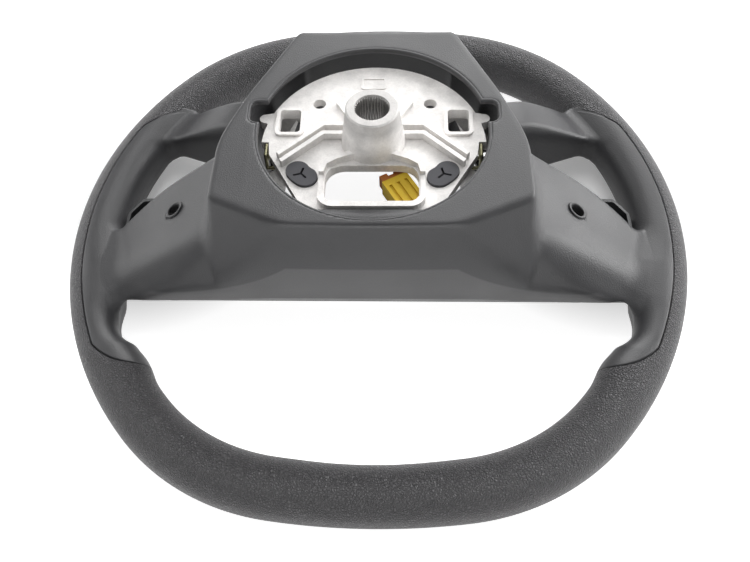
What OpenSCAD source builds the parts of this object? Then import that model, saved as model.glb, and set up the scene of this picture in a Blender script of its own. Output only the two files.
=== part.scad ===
// Car steering wheel without its airbag module, lying on its driver side.
// Origin: centre of the hub bore at the column-side face of the hub boss.
// +Z points to the column, +Y to 12 o'clock and +X to the right seen from the column.

/* [Rim] */
// Overall width of the rim across 3 and 9 o'clock
rim_w = 360; // [350:1:370]
// Overall height of the rim from 6 to 12 o'clock
rim_h = 353; // [343:1:361]
// Width of the rim tube, in the plane of the wheel
rim_tube_w = 30.2; // [28:0.1:32]
// Straight stretch between the two round halves of the tube's section
rim_tube_flat = 2.6; // [1:0.1:5]
// Radius of the centreline at 3 and 9 o'clock
rim_side_r = 182; // [178:1:190]
// Radius of the centreline at 6 and 12 o'clock, where the rim is flattest
rim_top_r = 366; // [330:1:400]
// Half the angle that the side arcs span
rim_side_angle = 41.5; // [39:0.5:44]
// Depth from the hub face down to the middle plane of the rim
rim_drop = 95.5; // [92:0.5:98]
// How far the middle of the rim lies below the hub, towards 6 o'clock
rim_low = 13; // [10:0.5:16]

/* [Armature] */
// Radius of the splined hub bore
bore_r = 9.4; // [8.5:0.1:10.2]
// Length of the hub bore, from the hub face to the bolt seat
bore_len = 22; // [20:0.5:24]
// Radius of the hub boss at its face
boss_r = 14.2; // [13:0.1:15]
// Radius of the hub boss at its foot
boss_foot_r = 17.5; // [17:0.1:19]
// Depth of the bolt recess in front of the bore
bolt_recess = 8; // [6:0.5:10]
// Radius of the bolt recess
bolt_recess_r = 12.5; // [11:0.1:13.5]
// Depth from the hub face to the top of the casting's plate
plate_drop = 25; // [24:0.5:27]
// Thickness of the plate
plate_t = 5; // [4:0.5:6]
// Radius of the plate's upper edge
plate_r = 61; // [59:0.5:61]
// Distance from the bore to the plate's straight lower edge
plate_low = 50; // [49:0.5:51]
// Width of the window in the plate, for the airbag connector
window_w = 49.5; // [46:0.5:50]
// Height of the window in the plate
window_h = 28; // [26:0.5:28.5]
// Height that the ribs stand above the plate
rib_h = 4.5; // [3:0.5:6]
// Thickness of the ribs
rib_t = 2.4; // [2:0.1:3]
// Width of the spokes that run down inside the wings
spoke_w = 22; // [18:0.5:24]
// Width of the spokes that run inside the upper bars
bar_spoke_w = 13; // [10:0.5:14]
// Width of the hoop inside the rim
hoop_w = 13; // [11:0.5:15]
// Height of the hoop inside the rim
hoop_t = 11; // [9:0.5:12]
// Distance between the two square holes, centre to centre
square_gap = 92.6; // [91:0.1:94]
// Width of the square holes
square_w = 11.6; // [10:0.1:12]
// Length of the square holes, towards 12 o'clock
square_l = 16.6; // [14:0.1:17]
// Distance between the two small round holes, centre to centre
pilot_gap = 62; // [58:0.5:64]
// Radius of the small round holes
pilot_r = 3.6; // [3:0.1:4]

/* [Rear cover] */
// Wall of the moulded cover
wall = 2.8; // [2.2:0.1:2.9]
// Radius of the cover's outer edges
edge_r = 3; // [3:0.1:4]
// Depth from the hub face to the cover's flat top
cover_drop = 15; // [14:0.5:17]
// Width of the hub housing across its widest part
block_w = 166; // [162:1:170]
// Width of the hub housing at its 12 o'clock edge
block_top_w = 93; // [88:1:98]
// Distance from the bore to the housing's 12 o'clock edge
block_top_y = 78; // [76:0.5:80]
// Radius of the round opening over the armature
opening_r = 61.8; // [61.8:0.1:63]
// Radius of the two lobes at the sides of the opening
lobe_r = 5; // [4.5:0.1:5.5]
// Depth from the hub face to the wing where it leaves the housing
wing_drop = 34; // [32:0.5:36]
// Fall of the wing for each millimetre towards the rim
wing_slope = 0.72; // [0.7:0.01:0.74]
// Wall of the smooth grip backs on the rim
grip_wall = 3; // [2.4:0.1:3.6]
// Width of the seam between grip back and rim foam
seam = 0.6; // [0.4:0.1:1]
// Radius of the screw access hole in each wing
access_r = 3.6; // [3.5:0.1:4.2]
// Distance from the rim's centreline inwards to each access hole
access_in = 52.9; // [51:0.1:55]

/* [Switch pods] */
// Depth from the hub face to the front of the pods and bezel
front_drop = 102; // [101:0.5:104]
// Wall of the pods and the bezel
pod_wall = 2.2; // [1.8:0.1:2.6]
// Width of a push button
button_w = 15; // [12:0.5:16]
// Length of a push button
button_l = 13; // [11:0.5:15]
// Distance between the two buttons, centre to centre
button_gap = 22; // [20:0.5:24]
// Travel of a push button
button_travel = 1; // [0.6:0.1:1.2]
// Width of the rocker
rocker_w = 13; // [11:0.5:14]
// Length of the rocker
rocker_l = 27; // [24:0.5:30]
// How far buttons and rockers stand proud of the pod
button_proud = 2; // [1.2:0.1:2.6]
// Gap between a button and the edge of its hole
button_gap_side = 0.4; // [0.3:0.05:0.6]
// Radius of the rocker's pivot pins
pivot_r = 1.2; // [1:0.1:1.5]

/* [Fits] */
// Gap between pieces that sit in or on each other
fit = 0.2; // [0.1:0.05:0.3]

/* [Hidden] */

$fn = 48;
arc_fn = 120;
section_n = 24;
station_step = 6.5;
eps = 0.01;
tube_r = rim_tube_w / 2;
line_a = rim_w / 2 - tube_r;
line_b = rim_h / 2 - tube_r;

// The rim's centreline is eight tangent arcs: the corner radius follows from the others.
to_side = [line_a - rim_side_r, rim_top_r - line_b];
side_dir = [cos(rim_side_angle), sin(rim_side_angle)];
r_step = rim_top_r - rim_side_r;
corner_off = (to_side * to_side - r_step * r_step) / (2 * (r_step - to_side * side_dir));
corner_r = rim_side_r - corner_off;
side_c = [line_a - rim_side_r, 0];
corner_c = side_c + corner_off * side_dir;
top_c = [0, line_b - rim_top_r];
top_angle = atan2(corner_c.y - top_c.y, corner_c.x - top_c.x);

// Each arc is [centre, radius, first angle, last angle], anticlockwise from 3 o'clock
SIDE_ARCS = [
    [side_c, rim_side_r, -rim_side_angle, rim_side_angle],
    [-side_c, rim_side_r, 180 - rim_side_angle, 180 + rim_side_angle]
];
END_ARCS = [
    [corner_c, corner_r, rim_side_angle, top_angle],
    [top_c, rim_top_r, top_angle, 180 - top_angle],
    [[-corner_c.x, corner_c.y], corner_r, 180 - top_angle, 180 - rim_side_angle],
    [-corner_c, corner_r, 180 + rim_side_angle, 180 + top_angle],
    [-top_c, rim_top_r, 180 + top_angle, 360 - top_angle],
    [[corner_c.x, -corner_c.y], corner_r, 360 - top_angle, 360 - rim_side_angle]
];

RIM_ARCS = concat([SIDE_ARCS[0]], [for (k = [0:2]) END_ARCS[k]], [SIDE_ARCS[1]], [for (k = [3:5]) END_ARCS[k]]);

// Heights, measured from the hub face
plate_z = -plate_drop;
rim_z = -rim_drop;
cover_z = -cover_drop;
front_z = -front_drop;
parting_z = front_z + 4;
strip_z = -77;
floor_z = front_z + pod_wall;

// The block, wing and bar of the cover: outlines of their outer faces
block_x = block_w / 2;
crease_y = -53;
strip_y = -68;
wing_top_y = 7;
wing_end_x = line_a - 11;
rib_out = 8;

// The pod under the right wing
pod_x = block_x + 5;
pod_y0 = -53.5;
pod_y1 = wing_top_y - wall - 2 * fit;
pod_plan_gap = 0.6;
button_x = pod_x + 14;
rocker_x = button_x + 20;
switch_y = -26;
board_x0 = pod_x + 3;
board_x1 = board_x0 + 45;
board_y0 = switch_y - 25;
board_y1 = switch_y + 25;
post_in = 3.5;
post_r = 2.6;
flange = 1.5;
flange_t = 1.4;
mat_t = 1;
dome_h = 0.4;
rocker_dome = rocker_l / 3.4;
board_t = 1.6;
back_t = 1.5;
stack_fit = 0.1;
mat_z = floor_z + fit + flange_t + 1.8 + button_travel + 0.2;
board_z = mat_z + mat_t + stack_fit;
back_z = board_z + board_t + stack_fit;
screw_r = 1.3;
screw_head_r = 2.6;
screw_head_t = 1.6;
ear_t = 2;
ear_gap = 0.3;
pivot_fit = 0.06;
pivot_z = floor_z + 2.2;

// The fixing of the cover on the wing spokes
access_x = line_a - access_in;
access_y = -24;
pad_z = -68.2;
boss_floor = 2;
cover_screw_r = 2;
head_r = 3.3;
head_t = 2.6;

// The armature's details
plate_cy = -3.4;
window_r = 5;
window_top_r = 10;
window_top = -18;
square_y = 13.5;
pilot_y = 28;
kidney_r = 14;
kidney_w = 12.6;
kidney_span = 26;
kidney_turn = -45;
bush_x = 37.6;
bush_y = -25;
bush_proud = 1.6;
bar_spoke_start = [46, 35];
bar_spoke_dir = 23;
clip_wire = 2;

// Placing helpers
module mirrored() {
    children();
    mirror([1, 0, 0]) children();
}

// An outline in the Y-Z plane carried along X
module along_x(x0, x1) {
    translate([x0, 0, 0]) rotate([90, 0, 90]) linear_extrude(x1 - x0) children();
}

// An outline in the X-Z plane carried along Y
module along_y(y0, y1) {
    translate([0, y1, 0]) rotate([90, 0, 0]) linear_extrude(y1 - y0) children();
}

module slab(z0, z1) {
    translate([0, 0, z0]) linear_extrude(z1 - z0) children();
}

module rounded_rect(w, l, r) {
    offset(r = r, $fn = 24) square([w - 2 * r, l - 2 * r], center = true);
}

// A section carried along arcs of the rim; its +X side is the outside of the rim
module sweep(arcs) {
    for (a = arcs)
        translate([a[0].x, a[0].y - rim_low, rim_z])
            rotate([0, 0, a[2]])
                rotate_extrude(angle = a[3] - a[2], $fn = arc_fn)
                    translate([a[1], 0]) children();
}

// Area inside a line that runs at a distance off inside the rim's centreline
module rim_plan(off) {
    polygon([
        for (a = RIM_ARCS)
            for (k = [0:11])
                let (t = a[2] + (a[3] - a[2]) * k / 12)
                    [a[0].x + (a[1] - off) * cos(t), a[0].y - rim_low + (a[1] - off) * sin(t)]
    ]);
}

// Section of the rim: two round halves with a short straight stretch between them
function tube_points(inset = 0) = [
    for (k = [0:section_n - 1])
        let (r = (tube_r - inset) / cos(180 / section_n), t = 360 * (k + 0.5) / section_n)
            [r * cos(t), r * sin(t) + sign(sin(t)) * rim_tube_flat / 2]
];

module tube_section(inset = 0) {
    polygon(tube_points(inset));
}

// The whole rim in one closed loop, a section at every few degrees of each arc
module rim_ring() {
    stations = [
        for (a = RIM_ARCS)
            let (n = round((a[3] - a[2]) / station_step))
                for (k = [0:n - 1]) [a[0].x, a[0].y - rim_low, a[1], a[2] + (a[3] - a[2]) * k / n]
    ];
    section = tube_points();
    points = [
        for (s = stations)
            for (p = section)
                [s[0] + (s[2] + p.x) * cos(s[3]), s[1] + (s[2] + p.x) * sin(s[3]), rim_z + p.y]
    ];
    faces = [
        for (i = [0:len(stations) - 1])
            for (j = [0:section_n - 1])
                let (a = i * section_n, b = ((i + 1) % len(stations)) * section_n, k = (j + 1) % section_n)
                    each [[a + j, a + k, b + k], [a + j, b + k, b + j]]
    ];
    polyhedron(points, faces);
}

// The part of the section that a grip back covers, from the outer rear to the inner front
module grip_wedge(extra = 0) {
    a0 = 72 - extra;
    a1 = 200 + extra;
    polygon(concat([[0, 0]], [for (k = [0:4]) let (t = a0 + (a1 - a0) * k / 4) 45 * [cos(t), sin(t)]]));
}

// The hoop's ring: it lies inside the rim along the same centreline
module hoop_ring(extra = 0) {
    slab(rim_z - hoop_t / 2 - extra, rim_z + hoop_t / 2 + extra) difference() {
        rim_plan(-hoop_w / 2 - extra);
        rim_plan(hoop_w / 2 + extra);
    }
}

// Plan of the stretch of rim that the grip backs cover, for the right side
module grip_plan(extra = 0) {
    polygon([[90, -107 - extra], [190, -107 - extra], [190, 45 + extra], [90, 101 + extra]]);
}

// Spokes
module wing_spoke(extra = 0) {
    along_y(access_y - spoke_w / 2 - extra, access_y + spoke_w / 2 + extra)
        offset(delta = extra)
            polygon([
                [46.5, plate_z - 4], [54, plate_z - 9], [66, -43], [access_x - 8, pad_z - 0.2],
                [access_x + 8, -74], [wing_end_x - 8, -84.5],
                [line_a, rim_z + hoop_t / 2], [line_a, rim_z - hoop_t / 2 + 1.5],
                [line_a - 14, rim_z - hoop_t / 2 + 1.5], [line_a - 22, -90.6], [access_x + 6, -87],
                [62, -52], [46.5, plate_z - 8]
            ]);
}

module bar_spoke(extra = 0) {
    intersection() {
        bar_spoke_whole(extra);
        slab(rim_z - 40, plate_z + 10) rim_plan(-extra);
    }
}

module bar_spoke_whole(extra) {
    translate([bar_spoke_start.x, bar_spoke_start.y, 0])
        rotate([0, 0, bar_spoke_dir])
            along_y(-bar_spoke_w / 2 - extra, bar_spoke_w / 2 + extra)
                offset(delta = extra)
                    polygon([
                        [-6, plate_z - 1.5], [2, plate_z - 4], [8, -42], [13, -57], [50, -70], [74, -83.5],
                        [92, rim_z + hoop_t / 2], [125, rim_z + hoop_t / 2],
                        [125, rim_z - hoop_t / 2 + 1.5], [93, rim_z - 1.7],
                        [72, -93], [47, -81], [9, -68], [1, -46], [-6, plate_z - 8]
                    ]);
}

// Armature: one die casting of hub, plate, ribs, spokes and hoop
module plate_plan() {
    intersection() {
        translate([0, plate_cy]) circle(plate_r, $fn = 96);
        polygon([
            [-34, -plate_low], [34, -plate_low], [56, -10], [57, -1], [70, -1],
            [70, 70], [-70, 70], [-70, -1], [-57, -1], [-56, -10]
        ]);
    }
    mirrored() {
        translate([60.4, 16.8]) circle(3.2);
        polygon([[50, 11], [58, 12.5], [60.4, 13.6], [60.4, 20], [50, 22]]);
    }
}

module window_plan(extra = 0) {
    translate([0, window_top - window_h / 2]) intersection() {
        rounded_rect(window_w + 2 * extra, window_h + 2 * extra, window_r + extra);
        translate([0, -window_h / 2])
            rounded_rect(window_w + 2 * extra, 2 * (window_h + extra), window_top_r + extra);
    }
}

// A kidney: a short stretch of ring with round ends, bulging away from the hub
module kidney(extra = 0) {
    translate([bush_x, bush_y]) rotate(kidney_turn) translate([-kidney_r, 0]) {
        rotate(-kidney_span / 2)
            rotate_extrude_plan(kidney_r, kidney_w / 2 + extra, kidney_span);
        for (s = [-1, 1])
            rotate(s * kidney_span / 2) translate([kidney_r, 0]) circle(kidney_w / 2 + extra);
    }
}

module rotate_extrude_plan(r, half, span) {
    intersection() {
        difference() {
            circle(r + half);
            circle(max(r - half, 0.5));
        }
        polygon([[0, 0], [40, 0], 40 * [cos(span / 2), sin(span / 2)] * 1.3, 40 * [cos(span), sin(span)]]);
    }
}

// The folded rib of each side: level beside the boss, then slanting to the plate's edge
module channel_rib(shift) {
    polygon([
        [12, 10 + shift], [27.8, 10 + shift], [51.5 + shift * 0.3, -12.3 + shift * 0.75],
        [50 + shift * 0.3, -12.3 - rib_t * 0.8 + shift * 0.75], [26.8, 10 - rib_t + shift], [12, 10 - rib_t + shift]
    ]);
}

module hub_and_plate() {
    rotate_extrude() polygon([
        [bore_r - 1, 0], [boss_r - 0.8, 0], [boss_r, -0.8], [boss_r, -2], [boss_foot_r, plate_z],
        [boss_foot_r, -bore_len - bolt_recess], [bore_r - 1, -bore_len - bolt_recess]
    ]);
    slab(plate_z - plate_t, plate_z) difference() {
        plate_plan();
        window_plan();
    }
    // Wall round the window, high at the lower edge
    slab(plate_z - plate_t, plate_z + rib_h) intersection() {
        difference() {
            window_plan(rib_t + 1);
            window_plan();
        }
        translate([-40, -plate_low]) square([80, 7]);
    }
    slab(plate_z - plate_t, plate_z + 1) intersection() {
        difference() {
            window_plan(rib_t + 1);
            window_plan();
        }
        translate([-40, -plate_low]) square([80, 30]);
    }
    // Raised frame near the upper edge
    slab(plate_z - eps, plate_z + 0.6) translate([-1, 44]) difference() {
        rounded_rect(14, 9, 1.5);
        rounded_rect(12, 7, 0.8);
    }
    mirrored() {
        // Folded channel ribs
        slab(plate_z - eps, plate_z + rib_h) channel_rib(0);
        slab(plate_z - eps, plate_z + rib_h) channel_rib(-6.6);
        // Web from the boss down to the corner of the window
        slab(plate_z - plate_t, plate_z + rib_h)
            polygon([[8.5, -13], [11.5, -10.5], [26, -17.5], [28, -21], [28, -26], [25.4, -26], [24, -20.5], [19, -17]]);
        // Ridge beside the window
        slab(plate_z - plate_t, plate_z + 2) translate([25.5, -41]) square([2.5, 16]);
        // Short ribs above the boss
        slab(plate_z - eps, plate_z + 2.5) polygon([[9, 11], [11, 9.5], [21.5, 27], [19.5, 28]]);
        // Frame of the square hole
        slab(plate_z - eps, plate_z + 1.6) translate([square_gap / 2, square_y]) difference() {
            rounded_rect(square_w + 4, square_l + 4, 3);
            rounded_rect(square_w, square_l, 1.8);
        }
        // Rim flange under the plate
        slab(plate_z - plate_t - rib_out, plate_z - plate_t + eps) intersection() {
            difference() {
                translate([0, plate_cy]) circle(plate_r - 1, $fn = 96);
                translate([0, plate_cy]) circle(plate_r - 4, $fn = 96);
            }
            translate([0, 14]) square([45, 60]);
        }
        // Ribs under the plate, from the hub to the flange
        for (a = [33, 62])
            slab(plate_z - plate_t - rib_out, plate_z - plate_t + eps)
                rotate(a) translate([12, -rib_t / 2]) square([43, rib_t]);
    }
}

module armature() {
    color("silver") {
        difference() {
            union() {
                hub_and_plate();
                mirrored() {
                    wing_spoke();
                    bar_spoke();
                    // Pad for the cover screw
                    translate([access_x, access_y, pad_z - 12]) cylinder(r = 5.5, h = 12);
                }
            }
            translate([0, 0, -bore_len]) cylinder(r = bore_r, h = bore_len + 1);
            translate([0, 0, -bore_len - bolt_recess - 1])
                cylinder(r = bolt_recess_r, h = bolt_recess + 1);
            mirrored() {
                slab(plate_z - 40, plate_z + 10) kidney(fit);
                slab(plate_z - plate_t - 1, plate_z + 10)
                    translate([square_gap / 2, square_y]) rounded_rect(square_w, square_l, 1.8);
                translate([pilot_gap / 2, pilot_y, plate_z - plate_t - 1]) cylinder(r = pilot_r, h = plate_t + 2);
                translate([access_x, access_y, pad_z - 16]) cylinder(r = cover_screw_r + 0.05, h = 20);
                // Weight-saving pocket in the wing spoke
                along_y(access_y - spoke_w / 2 + 3, access_y + spoke_w / 2 - 3)
                    polygon([[64, -60], [access_x - 8, -86], [access_x - 8, -72], [66, -49]]);
            }
        }
        hoop();
    }
}

module hoop() {
    difference() {
        hoop_ring();
        // Groove along its top
        slab(rim_z, rim_z + hoop_t) difference() {
            rim_plan(-hoop_w / 2 + 3);
            rim_plan(hoop_w / 2 - 3);
        }
    }
}

// Rim foam with its moulded skin, cut back where the grip backs lie
module rim_foam() {
    color("dimgray") difference() {
        rim_ring();
        hoop_ring(fit);
        mirrored() {
            intersection() {
                sweep([SIDE_ARCS[0]]) intersection() {
                    difference() {
                        tube_section(-5);
                        tube_section(grip_wall + fit);
                    }
                    grip_wedge(seam / tube_r * 57.3);
                }
                slab(rim_z - 40, rim_z + 40) grip_plan(seam);
            }
            scoop();
            intersection() {
                scoop(grip_wall + fit);
                sweep([SIDE_ARCS[0]]) intersection() {
                    tube_section(-5);
                    grip_wedge(seam / tube_r * 57.3);
                }
                slab(rim_z - 40, rim_z + 40) grip_plan(seam);
            }
            wing_spoke(fit);
            bar_spoke(fit);
        }
    }
}

// Rear cover. Each body is a skin over a few corner points, so one wall runs all round.
function both_sides(p) = concat(p, [for (q = p) [-q.x, q.y, q.z]]);

BLOCK_POINTS = let (r = edge_r, z = cover_z - edge_r, low = front_z - 12) both_sides([
    [block_top_w / 2 - r, block_top_y - r, z], [block_x - 7 - r, 12, z], [block_x - r, -9, z],
    [block_x - r, -50 + r, z], [44, -66.5 + r, z], [38, -70.5 + r, -47.5], [block_x + 2 - r, -70 + r, -63],
    [block_x + 2 - r, strip_y + r, low], [block_x + 2 - r, -9, low],
    [block_x - 5 - r, 12, low], [block_top_w / 2 + 1 - r, block_top_y - r, low]
]);

// Height of the wing's inner face above a point of the pod, less the fit
function wing_inner(x) = -wing_drop - wing_slope * (x - block_x - 1) - (wall + fit) * 1.24;
function wing_z(x) = -wing_drop - wing_slope * (x - block_x - 1) - edge_r * 1.23;

WING_POINTS = let (r = edge_r, x0 = block_x - 8, x1 = wing_end_x + 2, low = front_z - 12) [
    [x0, crease_y + r, wing_z(x0 + 5)], [x0, wing_top_y - r, wing_z(x0 + 5)],
    [x1, crease_y + r + 2, wing_z(x1)], [x1 - 18, wing_top_y - r - 1, wing_z(x1 - 18)],
    [x1, -6, wing_z(x1)],
    [x0, -70 + r, -65], [x1 - 40, -69 + r, -72.7], [x1 - 14, strip_y + 1 + r, wing_z(x1 - 14) - 0.5],
    [x0, strip_y + r, low], [x1 - 14, strip_y + 1 + r, low], [x1, crease_y - 4, low],
    [x0, wing_top_y - r, low], [x1 - 18, wing_top_y - r - 1, low], [x1, -6, low]
];

BAR_POINTS = let (low = front_z - 12, a = line_a, b = line_b) [
    [60, 33, -52], [a - 68.9, 50, -64], [a - 48.9, b - 102.4, -77], [a - 30.9, b - 95.4, -88],
    [52, 50, -56], [a - 76.9, b - 97.4, -66], [a - 46.9, b - 82.4, -88], [a - 38.9, b - 78.4, -92],
    [60, 33, low], [a - 30.9, b - 95.4, low], [52, 50, low], [a - 38.9, b - 78.4, low]
];

// The strip along the lower edge gets deeper towards the rim; this is the part below strip_z
strip_x = 57;
strip_fall = 0.075;

module strip_drop(extra = 0) {
    mirrored() along_y(-120, -58)
        polygon([
            [strip_x, strip_z + 1], [line_a, strip_z + 1],
            [line_a, strip_z - extra - strip_fall * (line_a - strip_x)], [strip_x, strip_z - extra]
        ]);
}

module skin(points, r) {
    hull() for (p = points) translate(p) sphere(r, $fn = 12);
}

module cover_bodies(r) {
    skin(BLOCK_POINTS, r);
    mirrored() {
        skin(WING_POINTS, r);
        skin(BAR_POINTS, r);
    }
}

module opening_plan(extra = 0) {
    circle(opening_r + extra, $fn = 96);
    mirrored() translate([opening_r + 4, 9]) circle(lobe_r + extra);
    mirrored() translate([opening_r - 6, 9 - lobe_r - extra]) square([10, 2 * lobe_r + 2 * extra]);
}

// Everything below the parting line with the front trim, which lies high along the lower edge
module below_parting() {
    difference() {
        along_x(-rim_w, rim_w)
            polygon([[-rim_h, strip_z], [-64, strip_z], [-45, parting_z], [rim_h, parting_z],
                     [rim_h, -rim_w], [-rim_h, -rim_w]]);
        strip_drop();
    }
}

// Upright cylinder that scoops the thumb's rest out of the rim below the spoke
scoop_r = 15;
scoop_at = [line_a - 40, -77.8];

module scoop(extra = 0) {
    translate([scoop_at.x, scoop_at.y, rim_z - 30]) cylinder(r = scoop_r + extra, h = 60, $fn = 48);
}

// Smooth back of the rim beside the wing
module grip_back() {
    intersection() {
        difference() {
            sweep([SIDE_ARCS[0]]) intersection() {
                tube_section();
                grip_wedge();
            }
            difference() {
                sweep([SIDE_ARCS[0]]) tube_section(grip_wall);
                scoop(grip_wall);
            }
            scoop();
        }
        slab(rim_z - 40, rim_z + 40) grip_plan();
    }
}

module cover_shell() {
    $fn = 24;
    arc_fn = 80;
    difference() {
        union() {
            difference() {
                cover_bodies(edge_r);
                below_parting();
                mirrored() sweep([SIDE_ARCS[0]]) tube_section(grip_wall - 0.5);
            }
            mirrored() grip_back();
        }
        difference() {
            cover_bodies(edge_r - wall);
            translate([0, 0, -0.5]) below_parting();
        }
        mirrored() {
            difference() {
                sweep([SIDE_ARCS[0]]) tube_section(-fit);
                slab(rim_z - 40, rim_z + 40) grip_plan();
            }
            wing_spoke(1);
            bar_spoke(1);
            translate([access_x, access_y, -90]) cylinder(r = access_r, h = 60);
        }
        slab(cover_z - 40, cover_z + 1) opening_plan();
    }
}

module rear_cover() {
    color([0.36, 0.37, 0.38]) {
        cover_shell();
        // Collar round the opening
        difference() {
            slab(cover_z - 4.5, cover_z - wall + 0.5) opening_plan(2);
            slab(cover_z - 5, cover_z) opening_plan();
        }
        // Ledge along the lower edge of the opening
        slab(cover_z - 6.3, cover_z - 4.5) intersection() {
            opening_plan(1.2);
            translate([-50, -70]) square([100, 70 - plate_low - 2.2]);
        }
        // Screw bosses under the access holes
        mirrored() difference() {
            translate([access_x, access_y, pad_z + fit]) cylinder(r = access_r + 2, h = 15.5);
            translate([access_x, access_y, pad_z + fit + boss_floor]) cylinder(r = access_r, h = 20);
            translate([access_x, access_y, pad_z - 1]) cylinder(r = cover_screw_r + 0.3, h = 6);
        }
        // Stiffening ribs under the flat top
        mirrored() for (y = [-44, -30, 30])
            slab(cover_z - 9, cover_z - wall + 0.5)
                intersection() {
                    translate([60, y]) square([block_x - 60, rib_t * 0.7]);
                    translate([-block_x + wall + 0.3, -60])
                        square([block_w - 2 * wall - 0.6, block_top_y + 60]);
                    difference() {
                        square(2 * block_w, center = true);
                        opening_plan(1);
                    }
                    polygon([[0, -60], [block_x - wall + 0.3, -60], [block_x - wall + 0.3, -9],
                             [block_x - 7 - wall, 12], [block_top_w / 2 - wall, block_top_y], [0, block_top_y]]);
                }
    }
}

// Front bezel round the airbag well
module block_plan(inset = 0) {
    offset(delta = -inset) polygon([
        [-block_x - 2, -62], [block_x + 2, -62], [block_x + 2, -9], [block_x - 5, 12],
        [block_top_w / 2 + 1, block_top_y], [-block_top_w / 2 - 1, block_top_y], [-block_x + 5, 12],
        [-block_x - 2, -9]
    ]);
}

// Outline of the sloping front trim along the lower edge, in the Y-Z plane
module lip_outline() {
    polygon([[strip_y + 0.3, strip_z - fit], [-65.6, strip_z - fit], [pod_y0 + pod_wall + 1, front_z + pod_wall],
             [-47, front_z + pod_wall], [-47, front_z], [pod_y0, front_z]]);
}

module front_bezel() {
    color([0.25, 0.26, 0.27]) {
        slab(front_z, front_z + pod_wall) difference() {
            intersection() {
                block_plan();
                translate([-200, -47.5]) square([400, 200]);
            }
            block_plan(8);
            translate([-70, -58]) square([140, 30]);
        }
        slab(front_z, parting_z - fit) difference() {
            intersection() {
                block_plan(wall + fit);
                translate([-200, -47.5]) square([400, 200]);
            }
            block_plan(8);
            translate([-70, -58]) square([140, 30]);
        }
        difference() {
            along_x(-pod_x + fit, pod_x - fit) lip_outline();
            strip_drop(fit);
        }
    }
}

// Switch pod under the right wing
module pod_plan(inset = 0) {
    intersection() {
        offset(delta = -inset) rim_plan(tube_r + pod_plan_gap);
        offset(delta = -inset) polygon([
            [pod_x, -80], [pod_x + 100, -80], [pod_x + 100, -7], [wing_end_x + 2, -6 - fit],
            [wing_end_x - 16, pod_y1 - 1], [pod_x, pod_y1]
        ]);
    }
}

module pod_side(inset = 0, top = 0) {
    along_x(pod_x - 5, pod_x + 100)
        polygon([[strip_y + 0.3 + inset, strip_z - fit + top], [pod_y0 + inset, front_z + inset],
                 [pod_y1 - inset, front_z + inset], [pod_y1 - inset, strip_z - fit + top]]);
}

module board_plan(inset = 0) {
    translate([(board_x0 + board_x1) / 2, switch_y])
        rounded_rect(board_x1 - board_x0 - 2 * inset, board_y1 - board_y0 - 2 * inset, 3);
}

module at_posts() {
    for (x = [board_x0 + post_in, board_x1 - post_in])
        for (y = [board_y0 + post_in, board_y1 - post_in])
            translate([x, y, 0]) children();
}

module at_buttons() {
    for (s = [-1, 1]) translate([button_x, switch_y + s * button_gap / 2, 0]) children();
}

module pod() {
    color([0.22, 0.23, 0.24]) {
        difference() {
            intersection() {
                slab(front_z, strip_z) pod_plan();
                pod_side();
            }
            intersection() {
                slab(front_z, strip_z + 10) pod_plan(pod_wall);
                pod_side(pod_wall, 5);
            }
            wing_spoke(1);
            strip_drop(fit);
            // The far end keeps under the wing's slope
            along_y(-100, 50)
                polygon([[130, wing_inner(130)], [170, wing_inner(170)], [170, -50], [130, -50]]);
            // Its corner towards the lower edge keeps under the cover's slope
            along_y(-100, -42)
                polygon([
                    [line_a - 31, strip_z - 1], [line_a - 18, strip_z - 6], [line_a, strip_z - 6],
                    [line_a, strip_z + 20], [line_a - 31, strip_z + 20]
                ]);
            // The wall towards the hub stays low, level with the bezel
            translate([pod_x - 5, -48, parting_z]) cube([8, 60, 40]);
            at_buttons() slab(front_z - 1, front_z + 5)
                rounded_rect(button_w + 2 * button_gap_side, button_l + 2 * button_gap_side, 3);
            translate([rocker_x, switch_y, 0]) slab(front_z - 1, front_z + 5)
                rounded_rect(rocker_w + 2 * button_gap_side, rocker_l + 3 * button_gap_side, 3);
        }
        at_posts() difference() {
            slab(floor_z - eps, mat_z - stack_fit) circle(post_r);
            slab(mat_z - 3.5, mat_z + 1) circle(screw_r - 0.1);
        }
        // Ears that carry the rocker's pins
        for (s = [-1, 1])
            translate([rocker_x + s * (rocker_w / 2 + button_gap_side + ear_t / 2 + ear_gap), switch_y, 0])
                along_x(-ear_t / 2, ear_t / 2) difference() {
                    translate([-3, floor_z - eps]) square([6, pivot_z - floor_z + 2.1]);
                    translate([0, pivot_z]) circle(pivot_r + pivot_fit);
                }
    }
}

module pod_back() {
    color([0.16, 0.17, 0.18]) difference() {
        slab(back_z, back_z + back_t) board_plan();
        at_posts() slab(back_z - 1, back_z + 5) circle(screw_r + fit);
    }
}

module switch_board() {
    color([0.1, 0.35, 0.2]) {
        difference() {
            slab(board_z, board_z + board_t) board_plan(0.5);
            at_posts() slab(board_z - 1, board_z + 5) circle(screw_r + fit);
        }
    }
}

module key_mat() {
    color([0.75, 0.75, 0.72]) {
        difference() {
            slab(mat_z, mat_z + mat_t) board_plan(0.5);
            at_posts() slab(mat_z - 1, mat_z + 5) circle(screw_r + fit);
        }
        at_buttons() translate([0, 0, mat_z - dome_h]) cylinder(r1 = 2.2, r2 = 3, h = dome_h + eps);
        for (s = [-1, 1]) translate([rocker_x, switch_y + s * rocker_dome, mat_z - dome_h])
            cylinder(r1 = 2.2, r2 = 3, h = dome_h + eps);
    }
}

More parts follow.
